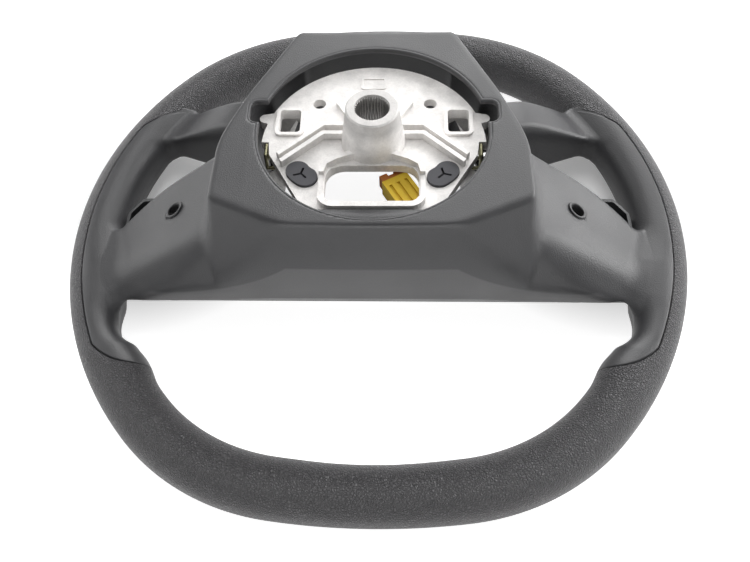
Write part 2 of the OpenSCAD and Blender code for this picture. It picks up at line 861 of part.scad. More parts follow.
module push_button(s) {
    color([0.12, 0.12, 0.13]) translate([button_x, switch_y + s * button_gap / 2, 0]) {
        slab(front_z - button_proud, floor_z + fit + eps) rounded_rect(button_w, button_l, 3);
        slab(floor_z + fit, floor_z + fit + flange_t)
            rounded_rect(button_w + 2 * flange, button_l + 2 * flange, 3.5);
        slab(floor_z + fit + flange_t - eps, mat_z - dome_h - button_travel - 0.1) circle(2.4);
    }
}

module rocker() {
    color([0.12, 0.12, 0.13]) translate([rocker_x, switch_y, 0]) {
        // Cap with two raised ends
        intersection() {
            slab(front_z - button_proud - 1, pivot_z + 2) rounded_rect(rocker_w, rocker_l, 3);
            along_x(-rocker_w / 2, rocker_w / 2) polygon([
                [-rocker_l / 2, front_z - button_proud], [-rocker_l / 6, front_z - button_proud + 0.9],
                [rocker_l / 6, front_z - button_proud + 0.9], [rocker_l / 2, front_z - button_proud],
                [rocker_l / 2, front_z + 1], [rocker_l / 4, pivot_z + 1.4], [-rocker_l / 4, pivot_z + 1.4],
                [-rocker_l / 2, front_z + 1]
            ]);
        }
        // Pivot pins
        along_x(-rocker_w / 2 - button_gap_side - ear_gap - ear_t, rocker_w / 2 + button_gap_side + ear_gap + ear_t)
            translate([0, pivot_z]) circle(pivot_r);
        for (s = [-1, 1])
            translate([0, s * rocker_dome, 0]) slab(pivot_z, mat_z - dome_h - 0.6) circle(1.6);
    }
}

// Trim that closes the front of an upper bar
module bar_trim() {
    color([0.22, 0.23, 0.24]) slab(front_z + 0.5, parting_z - fit) intersection() {
        polygon([[63, 34], [96, 49.6], [134, 66], [126, 83], [88, 66.4], [59, 52]]);
        rim_plan(tube_r + pod_plan_gap);
        translate([block_x - 5 + fit + 1, 12]) rotate(24.7) translate([0, -200]) square([400, 400]);
    }
}

// Rubber bush that guides a pin of the airbag module
module guide_bush() {
    color([0.2, 0.2, 0.21]) difference() {
        slab(plate_z - plate_t - 1, plate_z + bush_proud) kidney();
        // Three slots that meet in a Y
        translate([bush_x, bush_y, 0]) rotate(kidney_turn)
            for (a = [0, 120, 240])
                slab(plate_z - 1, plate_z + bush_proud + 1)
                    rotate(a + 30) translate([0, -0.6]) square([4.2, 1.2]);
    }
}

// Wire spring that snaps over the module's hook, laid round the edge of the plate
module retaining_spring() {
    x = 57 + 0.15 + clip_wire / 2;
    z = plate_z - 1.2;
    color([0.35, 0.34, 0.25]) {
        translate([x, -2.3, z]) rotate([90, 0, 0]) cylinder(d = clip_wire, h = 7.2, $fn = 24);
        for (y = [-2.3, -9.5])
            translate([x, y, z - 10]) cylinder(d = clip_wire, h = 10, $fn = 24);
        for (y = [-2.3, -9.5]) translate([x, y, z]) sphere(d = clip_wire, $fn = 24);
        for (y = [-2.3, -9.5]) translate([x, y, z - 10]) sphere(d = clip_wire, $fn = 24);
        for (y = [-2.3, -9.5])
            translate([x - 6, y, z - 10]) rotate([0, 90, 0]) cylinder(d = clip_wire, h = 6, $fn = 24);
    }
}

// Airbag connector under the window, with its lock and the clip that parks it
plug_l = 30;
plug_w = 15;
plug_t = 10;
plug_turn = -60;
plug_at = [10.5, -19.5];

module at_plug() {
    translate([plug_at.x, plug_at.y, plate_z - plate_t - fit]) rotate([0, 0, plug_turn]) children();
}

module airbag_connector() {
    color([0.85, 0.65, 0.1]) at_plug() difference() {
        translate([2, -plug_w / 2, -plug_t]) cube([plug_l - 2, plug_w, plug_t]);
        for (y = [-4.6, 0, 4.6])
            translate([6, y - 0.8, -1.2]) cube([plug_l, 1.6, 2]);
        translate([plug_l - 6, -plug_w / 2 + 2, -plug_t + 2]) cube([10, plug_w - 4, plug_t - 4]);
    }
}

module connector_lock() {
    color([0.72, 0.36, 0.08]) at_plug() {
        difference() {
            translate([-3, -plug_w / 2 + 1, -plug_t + 1]) cube([5 - fit, plug_w - 2, plug_t - 2]);
            translate([-4, -2, -4]) cube([3, 4, 6]);
        }
    }
}

module connector_clip() {
    color([0.15, 0.15, 0.16]) at_plug() difference() {
        translate([plug_l - 13, -plug_w / 2 - 2 - fit, -plug_t - 2 - fit])
            cube([8, plug_w + 4 + 2 * fit, plug_t + 2 + fit]);
        translate([plug_l - 14, -plug_w / 2 - fit, -plug_t - fit])
            cube([10, plug_w + 2 * fit, plug_t + 5]);
    }
}

module cover_screws() {
    color("gray") mirrored() translate([access_x, access_y, 0]) difference() {
        union() {
            slab(pad_z + 2 * fit + boss_floor, pad_z + 2 * fit + boss_floor + head_t) circle(head_r);
            slab(pad_z - 10, pad_z + 2 * fit + boss_floor + eps) circle(cover_screw_r);
        }
        slab(pad_z + boss_floor + 1.6, pad_z + 20) circle(1.9, $fn = 6);
    }
}

module pod_screws() {
    color("gray") mirrored() at_posts() difference() {
        union() {
            slab(back_z + back_t + stack_fit, back_z + back_t + stack_fit + screw_head_t) circle(screw_head_r);
            slab(mat_z - 3, back_z + back_t + stack_fit + eps) circle(screw_r - 0.1 - 0.03);
        }
        slab(back_z + back_t + 0.9, back_z + 10) circle(1, $fn = 6);
    }
}

armature();
rim_foam();
rear_cover();
front_bezel();
mirror([1, 0, 0]) pod();  // left_pod
pod();  // right_pod
mirror([1, 0, 0]) pod_back();  // left_pod_back
pod_back();  // right_pod_back
mirror([1, 0, 0]) key_mat();  // left_key_mat
key_mat();  // right_key_mat
mirror([1, 0, 0]) switch_board();  // left_switch_board
switch_board();  // right_switch_board
mirror([1, 0, 0]) push_button(1);  // left_upper_button
mirror([1, 0, 0]) push_button(-1);  // left_lower_button
push_button(1);  // right_upper_button
push_button(-1);  // right_lower_button
mirror([1, 0, 0]) rocker();  // left_rocker
rocker();  // right_rocker
mirror([1, 0, 0]) bar_trim();  // left_bar_trim
bar_trim();  // right_bar_trim
mirror([1, 0, 0]) guide_bush();  // left_guide_bush
guide_bush();  // right_guide_bush
mirror([1, 0, 0]) retaining_spring();  // left_retaining_spring
retaining_spring();  // right_retaining_spring
airbag_connector();
connector_lock();
connector_clip();
cover_screws();
pod_screws();
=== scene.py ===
"""A car steering wheel seen from its column side, dressed over its CAD frame.

The rim's skin and the grip backs are grids of two angles, and the rear cover is the zero level of a distance
field worked out on a lattice. Everything else keeps its CAD solid and gets a finish.
"""
import logging
from dataclasses import dataclass
from enum import Enum
from typing import Callable, Sequence

import bmesh
import bpy
import numpy as np
from mathutils import Matrix


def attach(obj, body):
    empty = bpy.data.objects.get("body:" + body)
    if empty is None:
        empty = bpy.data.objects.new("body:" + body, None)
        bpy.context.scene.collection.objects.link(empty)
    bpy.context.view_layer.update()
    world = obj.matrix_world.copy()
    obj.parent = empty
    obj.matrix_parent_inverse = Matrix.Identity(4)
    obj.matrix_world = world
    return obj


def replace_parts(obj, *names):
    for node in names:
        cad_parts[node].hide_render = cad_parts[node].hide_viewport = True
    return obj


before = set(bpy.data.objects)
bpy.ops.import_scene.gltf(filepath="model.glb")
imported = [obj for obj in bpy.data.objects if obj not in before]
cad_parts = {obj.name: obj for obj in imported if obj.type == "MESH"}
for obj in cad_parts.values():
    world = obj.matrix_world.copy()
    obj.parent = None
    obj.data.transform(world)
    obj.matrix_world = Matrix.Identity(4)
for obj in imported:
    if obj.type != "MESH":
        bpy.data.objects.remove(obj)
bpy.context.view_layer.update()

LOG = logging.getLogger("steering_wheel")
MM = 0.001
Array = np.ndarray
Field = Callable[[Array], Array]
Colour = tuple[float, float, float]


class Body(Enum):
    """Bodies of the frame that pieces ride on."""

    WHEEL = "wheel"


# ---------------------------------------------------------------- node graphs


class Graph:
    """The node tree of a material or a world, built with short calls."""

    def __init__(self, name: str, world: bool = False) -> None:
        """Starts an empty tree.

        Args:
            name: Name of the material or world.
            world: Whether the tree belongs to a world.
        """
        self.owner = (bpy.data.worlds if world else bpy.data.materials).new(name)
        self.owner.use_nodes = True
        self.tree = self.owner.node_tree
        self.tree.nodes.clear()
        self.out = self.node("OutputWorld" if world else "OutputMaterial").inputs["Surface"]
        self.coords = self.node("TexCoord").outputs["Object"]

    def node(self, kind: str, inputs: dict | None = None, **settings):
        """Adds one node.

        Args:
            kind: Blender's type name after ShaderNode.
            inputs: Values or sockets by input name or number.
            settings: Properties of the node.

        Returns:
            The new node.
        """
        new = self.tree.nodes.new("ShaderNode" + kind)
        for key, value in settings.items():
            setattr(new, key, value)
        for key, value in (inputs or {}).items():
            if isinstance(value, bpy.types.NodeSocket):
                self.tree.links.new(value, new.inputs[key])
            else:
                new.inputs[key].default_value = value
        return new

    def noise(self, scale: float, detail: float = 2.0, rough: float = 0.5):
        """A noise socket between 0 and 1, with scale in cycles per metre."""
        inputs = {"Vector": self.coords, "Scale": scale, "Detail": detail, "Roughness": rough}
        return self.node("TexNoise", inputs).outputs["Fac"]

    def cells(self, scale: float, smooth: float):
        """A socket with the distance to the nearest of many scattered points."""
        return self.node(
            "TexVoronoi", {"Vector": self.coords, "Scale": scale, "Smoothness": smooth}, feature="SMOOTH_F1"
        ).outputs["Distance"]

    def span(self, value, low: float, high: float, to_low: float, to_high: float):
        """Carries a socket's range low to high over to another range."""
        return self.node(
            "MapRange", {"Value": value, "From Min": low, "From Max": high, "To Min": to_low, "To Max": to_high}
        ).outputs["Result"]

    def math(self, operation: str, first, second):
        """One step of arithmetic on sockets or numbers."""
        return self.node("Math", {0: first, 1: second}, operation=operation).outputs[0]

    def total(self, *terms):
        """The sum of pairs of a socket and its weight, where a weight of 1 adds the socket as it is."""
        parts = [socket if weight == 1 else self.math("MULTIPLY", socket, weight) for socket, weight in terms]
        result = parts[0]
        for part in parts[1:]:
            result = self.math("ADD", result, part)
        return result

    def product(self, first, *others):
        """The product of sockets."""
        for other in others:
            first = self.math("MULTIPLY", first, other)
        return first

    def axes(self):
        """The three sockets of the Object coordinates, in metres."""
        return self.node("SeparateXYZ", {0: self.coords}).outputs[:]

    def mix(self, factor, first: Colour, second: Colour):
        """Mixes two colours by a socket."""
        made = self.node("Mix", {"Factor": factor}, data_type="RGBA")
        for slot, colour in ((6, first), (7, second)):
            if isinstance(colour, bpy.types.NodeSocket):
                self.tree.links.new(colour, made.inputs[slot])
            else:
                made.inputs[slot].default_value = (*colour, 1.0)
        return made.outputs[2]

    def bump(self, height, distance: float):
        """Turns a height socket into a normal, with distance as the metres that a height of 1 stands for."""
        return self.node("Bump", {"Height": height, "Distance": distance, "Strength": 1.0}).outputs["Normal"]

    def shade(self, **inputs) -> bpy.types.Material:
        """Ends the graph in one Principled shader.

        Args:
            inputs: Its inputs, with an underscore for each space of the name.

        Returns:
            The finished material.
        """
        names = {key.replace("_", " "): value for key, value in inputs.items()}
        for key, value in names.items():
            if isinstance(value, tuple) and len(value) == 3:
                names[key] = (*value, 1.0)
        shader = self.node("BsdfPrincipled", names)
        self.tree.links.new(shader.outputs[0], self.out)
        return self.owner


# ------------------------------------------------------------------- finishes


def tint(colour: Colour, factor: float, lift: float = 0.0) -> Colour:
    """A colour times a factor, plus a lift, up to 1."""
    return tuple(min(1.0, c * factor + lift) for c in colour)


@dataclass(frozen=True)
class GrainedPlastic:
    """Moulded plastic with a fine spark-eroded grain, and perhaps a paler strip along the cover's lower edge, which is
    painted sheen standing in for the glancing light on that strip.

    The strip lies below a crease, level up to crease_x from the middle and then falling by up to crease_fall.
    """

    name: str
    colour: Colour
    grain: float = 1500.0
    depth: float = 0.00010
    gloss: float = 0.46
    band: Colour | None = None
    crease_x: float = 0.045
    crease_z: float = -0.0475
    crease_fall: float = 0.029
    crease_run: float = 0.036

    def strip(self, g: Graph):
        """The mask of the painted sheen: z below crease_z - crease_fall * (1 - exp(-past / crease_run)), on the front
        wall.
        """
        x, y, z = g.axes()
        side = g.math("ABSOLUTE", x, 0.0)
        past = g.math("MAXIMUM", g.math("SUBTRACT", side, self.crease_x), 0.0)
        fall = g.math("SUBTRACT", 1.0, g.math("EXPONENT", g.math("DIVIDE", past, -self.crease_run), 0.0))
        crease = g.math("SUBTRACT", self.crease_z, g.math("MULTIPLY", fall, self.crease_fall))
        under = g.span(g.math("SUBTRACT", crease, z), -0.0004, 0.0012, 0.0, 1.0)
        return g.product(under, g.span(side, 0.118, 0.136, 1.0, 0.0), g.span(y, -0.0655, -0.0670, 0.0, 1.0))

    def build(self) -> bpy.types.Material:
        """Makes the material: fine cells and noise as relief, faint patches and the strip of painted sheen."""
        g = Graph(self.name)
        pits = g.cells(self.grain, 0.45)
        fine = g.noise(self.grain * 2.1, 2.0)
        patch = g.noise(38.0, 3.0)
        tone = g.span(g.total((patch, 0.6), (fine, 0.4)), 0.35, 0.65, 0.0, 1.0)
        colour = g.mix(tone, tint(self.colour, 0.88), tint(self.colour, 1.14, 0.002))
        # Painted sheen: the strip below the crease gets a paler colour that stands in for the glancing light on it.
        if self.band is not None:
            colour = g.mix(self.strip(g), colour, self.band)
        return g.shade(
            Base_Color=colour,
            Roughness=g.span(g.total((patch, 1), (fine, 0.6)), 0.6, 1.0, self.gloss - 0.05, self.gloss + 0.07),
            Normal=g.bump(g.total((pits, 0.8), (fine, 0.5)), self.depth),
            IOR=1.53,
        )


@dataclass(frozen=True)
class SoftSkin:
    """Foamed skin with a pebbled leather grain."""

    name: str
    colour: Colour
    pebble: float = 760.0
    depth: float = 0.00070

    def build(self) -> bpy.types.Material:
        """Makes the material: rounded pebbles parted by fine creases, glossier on their crowns."""
        g = Graph(self.name)
        wander = g.node("TexNoise", {"Vector": g.coords, "Scale": 420.0, "Detail": 1.0}).outputs["Color"]
        shift = g.node("VectorMath", {0: wander, "Scale": 0.0011}, operation="SCALE").outputs[0]
        bend = g.node("VectorMath", {0: g.coords, 1: shift}, operation="ADD").outputs[0]
        cells = g.node("TexVoronoi", {"Vector": bend, "Scale": self.pebble}, feature="DISTANCE_TO_EDGE")
        dome = g.math("POWER", g.span(cells.outputs["Distance"], 0.0, 0.34, 0.0, 1.0), 0.55)
        fine = g.noise(3800.0, 2.0)
        shade = g.product(dome, g.span(g.noise(30.0, 3.0), 0.3, 0.7, 0.75, 1.0))
        return g.shade(
            Base_Color=g.mix(shade, tint(self.colour, 0.72), tint(self.colour, 1.12, 0.002)),
            Roughness=g.span(dome, 0.0, 1.0, 0.50, 0.30),
            Normal=g.bump(g.total((dome, 1), (fine, 0.22)), self.depth),
            IOR=1.5,
        )


@dataclass(frozen=True)
class CastAlloy:
    """Die-cast light alloy with its casting skin, with painted shade on the hub's top, darker by height to offset the
    stronger light it gets than the recess.
    """

    name: str
    colour: Colour
    machined: float = 0.72

    def build(self) -> bpy.types.Material:
        """Makes the material: cloudy flow marks, small pits, an uneven sheen and painted shade towards the hub's top.
        """
        g = Graph(self.name)
        flow = g.noise(95.0, 4.0, 0.6)
        skin = g.noise(900.0, 3.0, 0.65)
        pits = g.span(g.noise(2400.0, 1.0), 0.62, 0.74, 0.0, 1.0)
        tone = g.span(g.total((flow, 0.75), (skin, 0.25)), 0.36, 0.64, 0.0, 1.0)
        cast = g.mix(tone, tint(self.colour, 0.80), tint(self.colour, 1.08))
        # Painted shade: the colour darkens with height towards the hub's top, against the stronger light there than in
        # the recess.
        light = g.span(g.axes()[2], -0.0120, -0.0060, 1.0, self.machined)
        return g.shade(
            Base_Color=g.mix(light, (0.0, 0.0, 0.0), cast),
            Metallic=0.15,
            Roughness=g.span(flow, 0.3, 0.7, 0.50, 0.64),
            Normal=g.bump(g.total((flow, 0.8), (skin, 0.35), (pits, -0.25)), 0.00028),
        )


@dataclass(frozen=True)
class SmoothPlastic:
    """Smooth moulded plastic or rubber, with faint wear."""

    name: str
    colour: Colour
    gloss: float = 0.42

    def build(self) -> bpy.types.Material:
        """Makes the material: near even, with a soft mottle and fine scuffs."""
        g = Graph(self.name)
        mottle = g.noise(160.0, 3.0)
        scuff = g.noise(2600.0, 2.0, 0.6)
        tone = g.span(mottle, 0.35, 0.65, 0.0, 1.0)
        return g.shade(
            Base_Color=g.mix(tone, tint(self.colour, 0.84), tint(self.colour, 1.12)),
            Roughness=g.span(scuff, 0.3, 0.7, self.gloss - 0.06, self.gloss + 0.08),
            Normal=g.bump(scuff, 0.00004),
        )


@dataclass(frozen=True)
class PlatedSteel:
    """Plated or coated steel wire and screws."""

    name: str
    colour: Colour
    metal: float = 1.0

    def build(self) -> bpy.types.Material:
        """Makes the material: brushed sheen with small dull spots."""
        g = Graph(self.name)
        spots = g.noise(1400.0, 3.0)
        return g.shade(
            Base_Color=g.mix(g.span(spots, 0.35, 0.6, 0.0, 1.0), tint(self.colour, 0.7), self.colour),
            Metallic=self.metal,
            Roughness=g.span(spots, 0.3, 0.7, 0.28, 0.46),
            Normal=g.bump(spots, 0.00003),
        )


class Finish(Enum):
    """The finishes of this wheel."""

    # The cover's paler lower strip is painted sheen, standing in for the glancing light on it.
    COVER = GrainedPlastic("cover_grain", (0.038, 0.038, 0.0405), gloss=0.42, band=(0.085, 0.085, 0.087))
    TRIM = GrainedPlastic("trim_grain", (0.045, 0.046, 0.048), grain=1700.0, depth=0.00008)
    SKIN = SoftSkin("rim_pebble", (0.062, 0.060, 0.064))
    ALLOY = CastAlloy("cast_alloy", (0.88, 0.86, 0.84))
    BUSH = SmoothPlastic("bush_rubber", (0.034, 0.034, 0.034), 0.55)
    BUTTON = SmoothPlastic("button_black", (0.022, 0.022, 0.024), 0.35)
    INNER = SmoothPlastic("inner_black", (0.012, 0.012, 0.013), 0.55)
    MAT = SmoothPlastic("key_mat", (0.5, 0.5, 0.47), 0.6)
    BOARD = SmoothPlastic("board_green", (0.03, 0.15, 0.07), 0.35)
    YELLOW = SmoothPlastic("connector_yellow", (0.52, 0.30, 0.006), 0.38)
    ORANGE = SmoothPlastic("lock_orange", (0.42, 0.15, 0.02), 0.38)
    WIRE = PlatedSteel("spring_wire", (0.16, 0.155, 0.10), 0.6)
    SCREW = PlatedSteel("screw_zinc", (0.5, 0.5, 0.5))
    STEEL = PlatedSteel("hub_steel", (0.42, 0.41, 0.40), 0.85)

    def material(self) -> bpy.types.Material:
        """The finish's material, made once."""
        made = bpy.data.materials.get(self.value.name)
        return made if made is not None else self.value.build()


# ------------------------------------------------------------- mesh and fields


def grid_faces(rows: int, cols: int, wrap_rows: bool = False, wrap_cols: bool = False) -> Array:
    """Quads over a grid of points in row order.

    Args:
        rows: Number of rows of points.
        cols: Number of points in a row.
        wrap_rows: Whether the last row joins the first.
        wrap_cols: Whether the last column joins the first.

    Returns:
        An array of four point numbers per quad.
    """
    i = np.arange(rows if wrap_rows else rows - 1)[:, None]
    j = np.arange(cols if wrap_cols else cols - 1)[None, :]
    i2, j2 = (i + 1) % rows, (j + 1) % cols
    quads = np.stack([i * cols + j, i2 * cols + j, i2 * cols + j2, i * cols + j2], -1)
    return quads.reshape(-1, 4)


def link(name: str, data, matrix: Matrix | None = None) -> bpy.types.Object:
    """Makes an object of some data and puts it into the scene."""
    obj = bpy.data.objects.new(name, data)
    bpy.context.scene.collection.objects.link(obj)
    if matrix is not None:
        obj.matrix_world = matrix
    return obj


def pose(right: Array, up: Array, back: Array, place: Sequence[float]) -> Matrix:
    """The matrix whose columns are three directions and a place."""
    made = Matrix.Identity(4)
    for row in range(3):
        made[row][0], made[row][1], made[row][2], made[row][3] = right[row], up[row], back[row], place[row]
    return made


def sided(side: float, name: str) -> str:
    """The name of a piece of the right side, for 1, or of the left side, for -1."""
    return ("right_" if side > 0 else "left_") + name


def piece(name: str, points: Array, faces: Array, finish: Finish) -> bpy.types.Object:
    """Makes a smooth-shaded piece from points in millimetres.

    Args:
        name: The piece's name.
        points: One row of x, y, z per point, in any grid.
        faces: Point numbers, three or four per face.
        finish: Its finish.

    Returns:
        The new object, riding on the wheel.
    """
    rows = np.asarray(points, float).reshape(-1, 3)
    mesh = bpy.data.meshes.new(name)
    mesh.from_pydata((rows * MM).tolist(), [], np.asarray(faces).tolist())
    mesh.update()
    mesh.shade_smooth()
    mesh.materials.append(finish.material())
    obj = link(name, mesh)
    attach(obj, Body.WHEEL.value)
    LOG.info("%s: %d points, %d faces", name, len(rows), len(faces))
    return obj


def blend_min(a: Array, b: Array, k: float) -> Array:
    """The lower of two fields with a fillet: min(a, b) - (k - |a - b|)^2 / 4k where they are closer than k."""
    h = np.clip(k - np.abs(a - b), 0, None)
    return np.minimum(a, b) - h * h / (4 * k)


def blend_max(a: Array, b: Array, k: float) -> Array:
    """The higher of two fields with a rounded edge, the mirror image of blend_min."""
    return -blend_min(-a, -b, k)


def hull_planes(points: Sequence[Sequence[float]], grow: float) -> tuple[Array, Array]:
    """The planes of the convex hull of a few points, moved outwards.

    Args:
        points: The corner points.
        grow: Distance that every plane moves outwards.

    Returns:
        Unit normals and offsets, with planes that lie within about three degrees merged.
    """
    mesh = bmesh.new()
    for point in points:
        mesh.verts.new(point)
    hull = bmesh.ops.convex_hull(mesh, input=mesh.verts)
    centre = np.mean(np.array(points, float), 0)
    found: list[tuple[Array, float, float]] = []
    for face in [f for f in hull["geom"] if isinstance(f, bmesh.types.BMFace)]:
        area = face.calc_area()
        if area < 1e-3:
            continue
        normal = np.array(face.normal, float)
        offset = float(normal @ np.array(face.verts[0].co))
        if normal @ centre > offset:
            normal, offset = -normal, -offset
        found.append((normal, offset, area))
    mesh.free()
    found.sort(key=lambda item: -item[2])
    kept: list[tuple[Array, float]] = []
    for normal, offset, _ in found:
        if not any(normal @ other > 0.9985 for other, _ in kept):
            kept.append((normal, offset))
    return np.array([n for n, _ in kept]), np.array([d for _, d in kept]) + grow


def surface_nets(values: Array, origin: Array, step: float) -> tuple[Array, Array]:
    """Quads along the zero level of a field on a lattice.

    A cell that the level crosses gets one point, the mean of the crossings of its twelve edges, and each crossed
    lattice edge gets the quad of its four cells.

    Args:
        values: The field at the lattice points, negative inside.
        origin: Place of the first lattice point.
        step: Lattice spacing.

    Returns:
        Points and quads that face outwards.
    """
    inside = values < 0
    shape = tuple(n - 1 for n in values.shape)
    total = np.zeros(shape + (3,), np.float32)
    count = np.zeros(shape, np.float32)
    crossings = []
    for axis in range(3):
        first = tuple(slice(0, -1) if a == axis else slice(None) for a in range(3))
        second = tuple(slice(1, None) if a == axis else slice(None) for a in range(3))
        cut = inside[first] != inside[second]
        where = np.argwhere(cut)
        va, vb = values[first][cut], values[second][cut]
        along = va / (va - vb)
        crossings.append((axis, where, inside[first][cut]))
        others = [a for a in range(3) if a != axis]
        place = where.astype(np.float32)
        place[:, axis] += along
        for da in (0, 1):
            for db in (0, 1):
                cell = where.copy()
                cell[:, others[0]] -= da
                cell[:, others[1]] -= db
                good = np.all((cell >= 0) & (cell < np.array(shape)), 1)
                index = tuple(cell[good].T)
                np.add.at(total, index, place[good])
                np.add.at(count, index, 1)
    used = count > 0
    number = -np.ones(shape, np.int64)
    number[used] = np.arange(used.sum())
    points = origin + step * (total[used] / count[used][:, None])
    quads = []
    for axis, where, starts_inside in crossings:
        o1, o2 = [a for a in range(3) if a != axis]
        good = (where[:, o1] > 0) & (where[:, o2] > 0) & (where[:, o1] < shape[o1]) & (where[:, o2] < shape[o2])
        cell, flip = where[good], starts_inside[good]
        corners = []
        for da, db in ((1, 1), (0, 1), (0, 0), (1, 0)):
            near = cell.copy()
            near[:, o1] -= da
            near[:, o2] -= db
            corners.append(number[tuple(near.T)])
        quad = np.stack(corners, 1)
        if axis == 1:
            flip = ~flip
        quad[~flip] = quad[~flip][:, ::-1]
        quads.append(quad)
    return points, np.concatenate(quads)


def settle(points: Array, field: Field, limit: float = 0.7, rounds: int = 4) -> Array:
    """Moves points onto a field's zero level, down its slope, by at most limit in all."""
    moved = points.astype(float).copy()
    e = 0.05
    for _ in range(rounds):
        value = field(moved)
        slope = np.stack([(field(moved + d) - field(moved - d)) / (2 * e) for d in np.eye(3) * e], 1)
        steep = np.clip((slope * slope).sum(1), 0.2, None)
        moved -= slope * (value / steep)[:, None] * 0.9
        shift = moved - points
        far = np.linalg.norm(shift, axis=1, keepdims=True)
        moved = points + shift * np.minimum(1, limit / np.maximum(far, 1e-9))
    return moved


# ------------------------------------------------------------------ the rim


@dataclass
class Rim:
    """The rim's centreline and tube, with the seam that bounds each grip back. Sizes in millimetres."""

    side_r: float = 182.0
    side_angle: float = 41.5
    top_r: float = 366.0
    half_w: float = 164.9
    half_h: float = 161.4
    low: float = 13.0
    z: float = -95.5
    tube_r: float = 15.1
    flat: float = 1.3
    seam_half: float = 0.38
    seam_depth: float = 2.4
    shoulder: float = 0.40

    def __post_init__(self) -> None:
        """Works out the corner arc that is tangent to the side arc and the top arc."""
        self.side_c = np.array([self.half_w - self.side_r, 0.0])
        self.top_c = np.array([0.0, self.half_h - self.top_r])
        a = np.radians(self.side_angle)
        direction = np.array([np.cos(a), np.sin(a)])
        to_side = self.side_c - self.top_c
        step = self.top_r - self.side_r
        off = (to_side @ to_side - step * step) / (2 * (step - to_side @ direction))
        self.corner_r = self.side_r - off
        self.corner_c = self.side_c + off * direction
        rise = self.corner_c - self.top_c
        self.top_angle = float(np.arctan2(rise[1], rise[0]))
        self.lengths = np.array([
            self.side_r * a, self.corner_r * (self.top_angle - a), self.top_r * (np.pi / 2 - self.top_angle)
        ])

    def offset(self, x: Array, y: Array) -> Array:
        """Signed distance outwards from the centreline in plan, by folding the oval into one quarter."""
        fx, fy = np.abs(x), np.abs(y + self.low)
        side = np.hypot(fx - self.side_c[0], fy - self.side_c[1]) - self.side_r
        corner = np.hypot(fx - self.corner_c[0], fy - self.corner_c[1]) - self.corner_r
        top = np.hypot(fx - self.top_c[0], fy - self.top_c[1]) - self.top_r
        on_side = np.arctan2(fy - self.side_c[1], fx - self.side_c[0]) < np.radians(self.side_angle)
        on_top = np.arctan2(fy - self.top_c[1], fx - self.top_c[0]) > self.top_angle
        return np.where(on_side, side, np.where(on_top, top, corner))

    def tube(self, p: Array) -> Array:
        """Distance to the tube's surface: round halves about a short vertical straight."""
        u = self.offset(p[:, 0], p[:, 1])
        w = p[:, 2] - self.z
        w = np.sign(w) * np.clip(np.abs(w) - self.flat, 0, None)
        return np.hypot(u, w) - self.tube_r

    def along(self, s: Array) -> tuple[Array, Array]:
        """Point and outward direction of the centreline.

        Args:
            s: Turn fraction from 0 at 3 o'clock, once round anticlockwise at 1, by length along the line.

        Returns:
            Points in plan and unit normals.
        """
        quarter = self.lengths.sum()
        d = (np.asarray(s) % 1.0) * 4 * quarter
        number = np.floor(d / quarter).astype(int) % 4
        rest = d - number * quarter
        rest = np.where(number % 2 == 1, quarter - rest, rest)
        l1, l2 = self.lengths[0], self.lengths[0] + self.lengths[1]
        a = np.where(
            rest < l1, rest / self.side_r,
            np.where(rest < l2, np.radians(self.side_angle) + (rest - l1) / self.corner_r,
                     self.top_angle + (rest - l2) / self.top_r))
        centre = np.where((rest < l1)[..., None], self.side_c,
                          np.where((rest < l2)[..., None], self.corner_c, self.top_c))
        radius = np.where(rest < l1, self.side_r, np.where(rest < l2, self.corner_r, self.top_r))
        normal = np.stack([np.cos(a), np.sin(a)], -1)
        point = centre + radius[..., None] * normal
        sx = np.where((number == 1) | (number == 2), -1.0, 1.0)
        sy = np.where(number >= 2, -1.0, 1.0)
        flip = np.stack([sx, sy], -1)
        return point * flip - np.array([0.0, self.low]), normal * flip

    def surface(self, s: Array, phi: Array, depth: Array) -> Array:
        """Points of the skin: centreline + outward * u + up * w, where (u, w) is the section at the angle phi.

        Args:
            s: Turn fraction.
            phi: Section angle in radians, 0 inwards, a quarter turn at the back and a half turn outwards.
            depth: Distance below the tube's surface.

        Returns:
            Points, one row each.
        """
        line, normal = self.along(s)
        r = self.tube_r - depth
        u = -r * np.cos(phi)
        w = r * np.sin(phi) + self.flat * np.sign(np.sin(phi)) * np.minimum(1, np.abs(np.sin(phi)) * 6)
        return np.stack([line[..., 0] + normal[..., 0] * u, line[..., 1] + normal[..., 1] * u, self.z + w], -1)


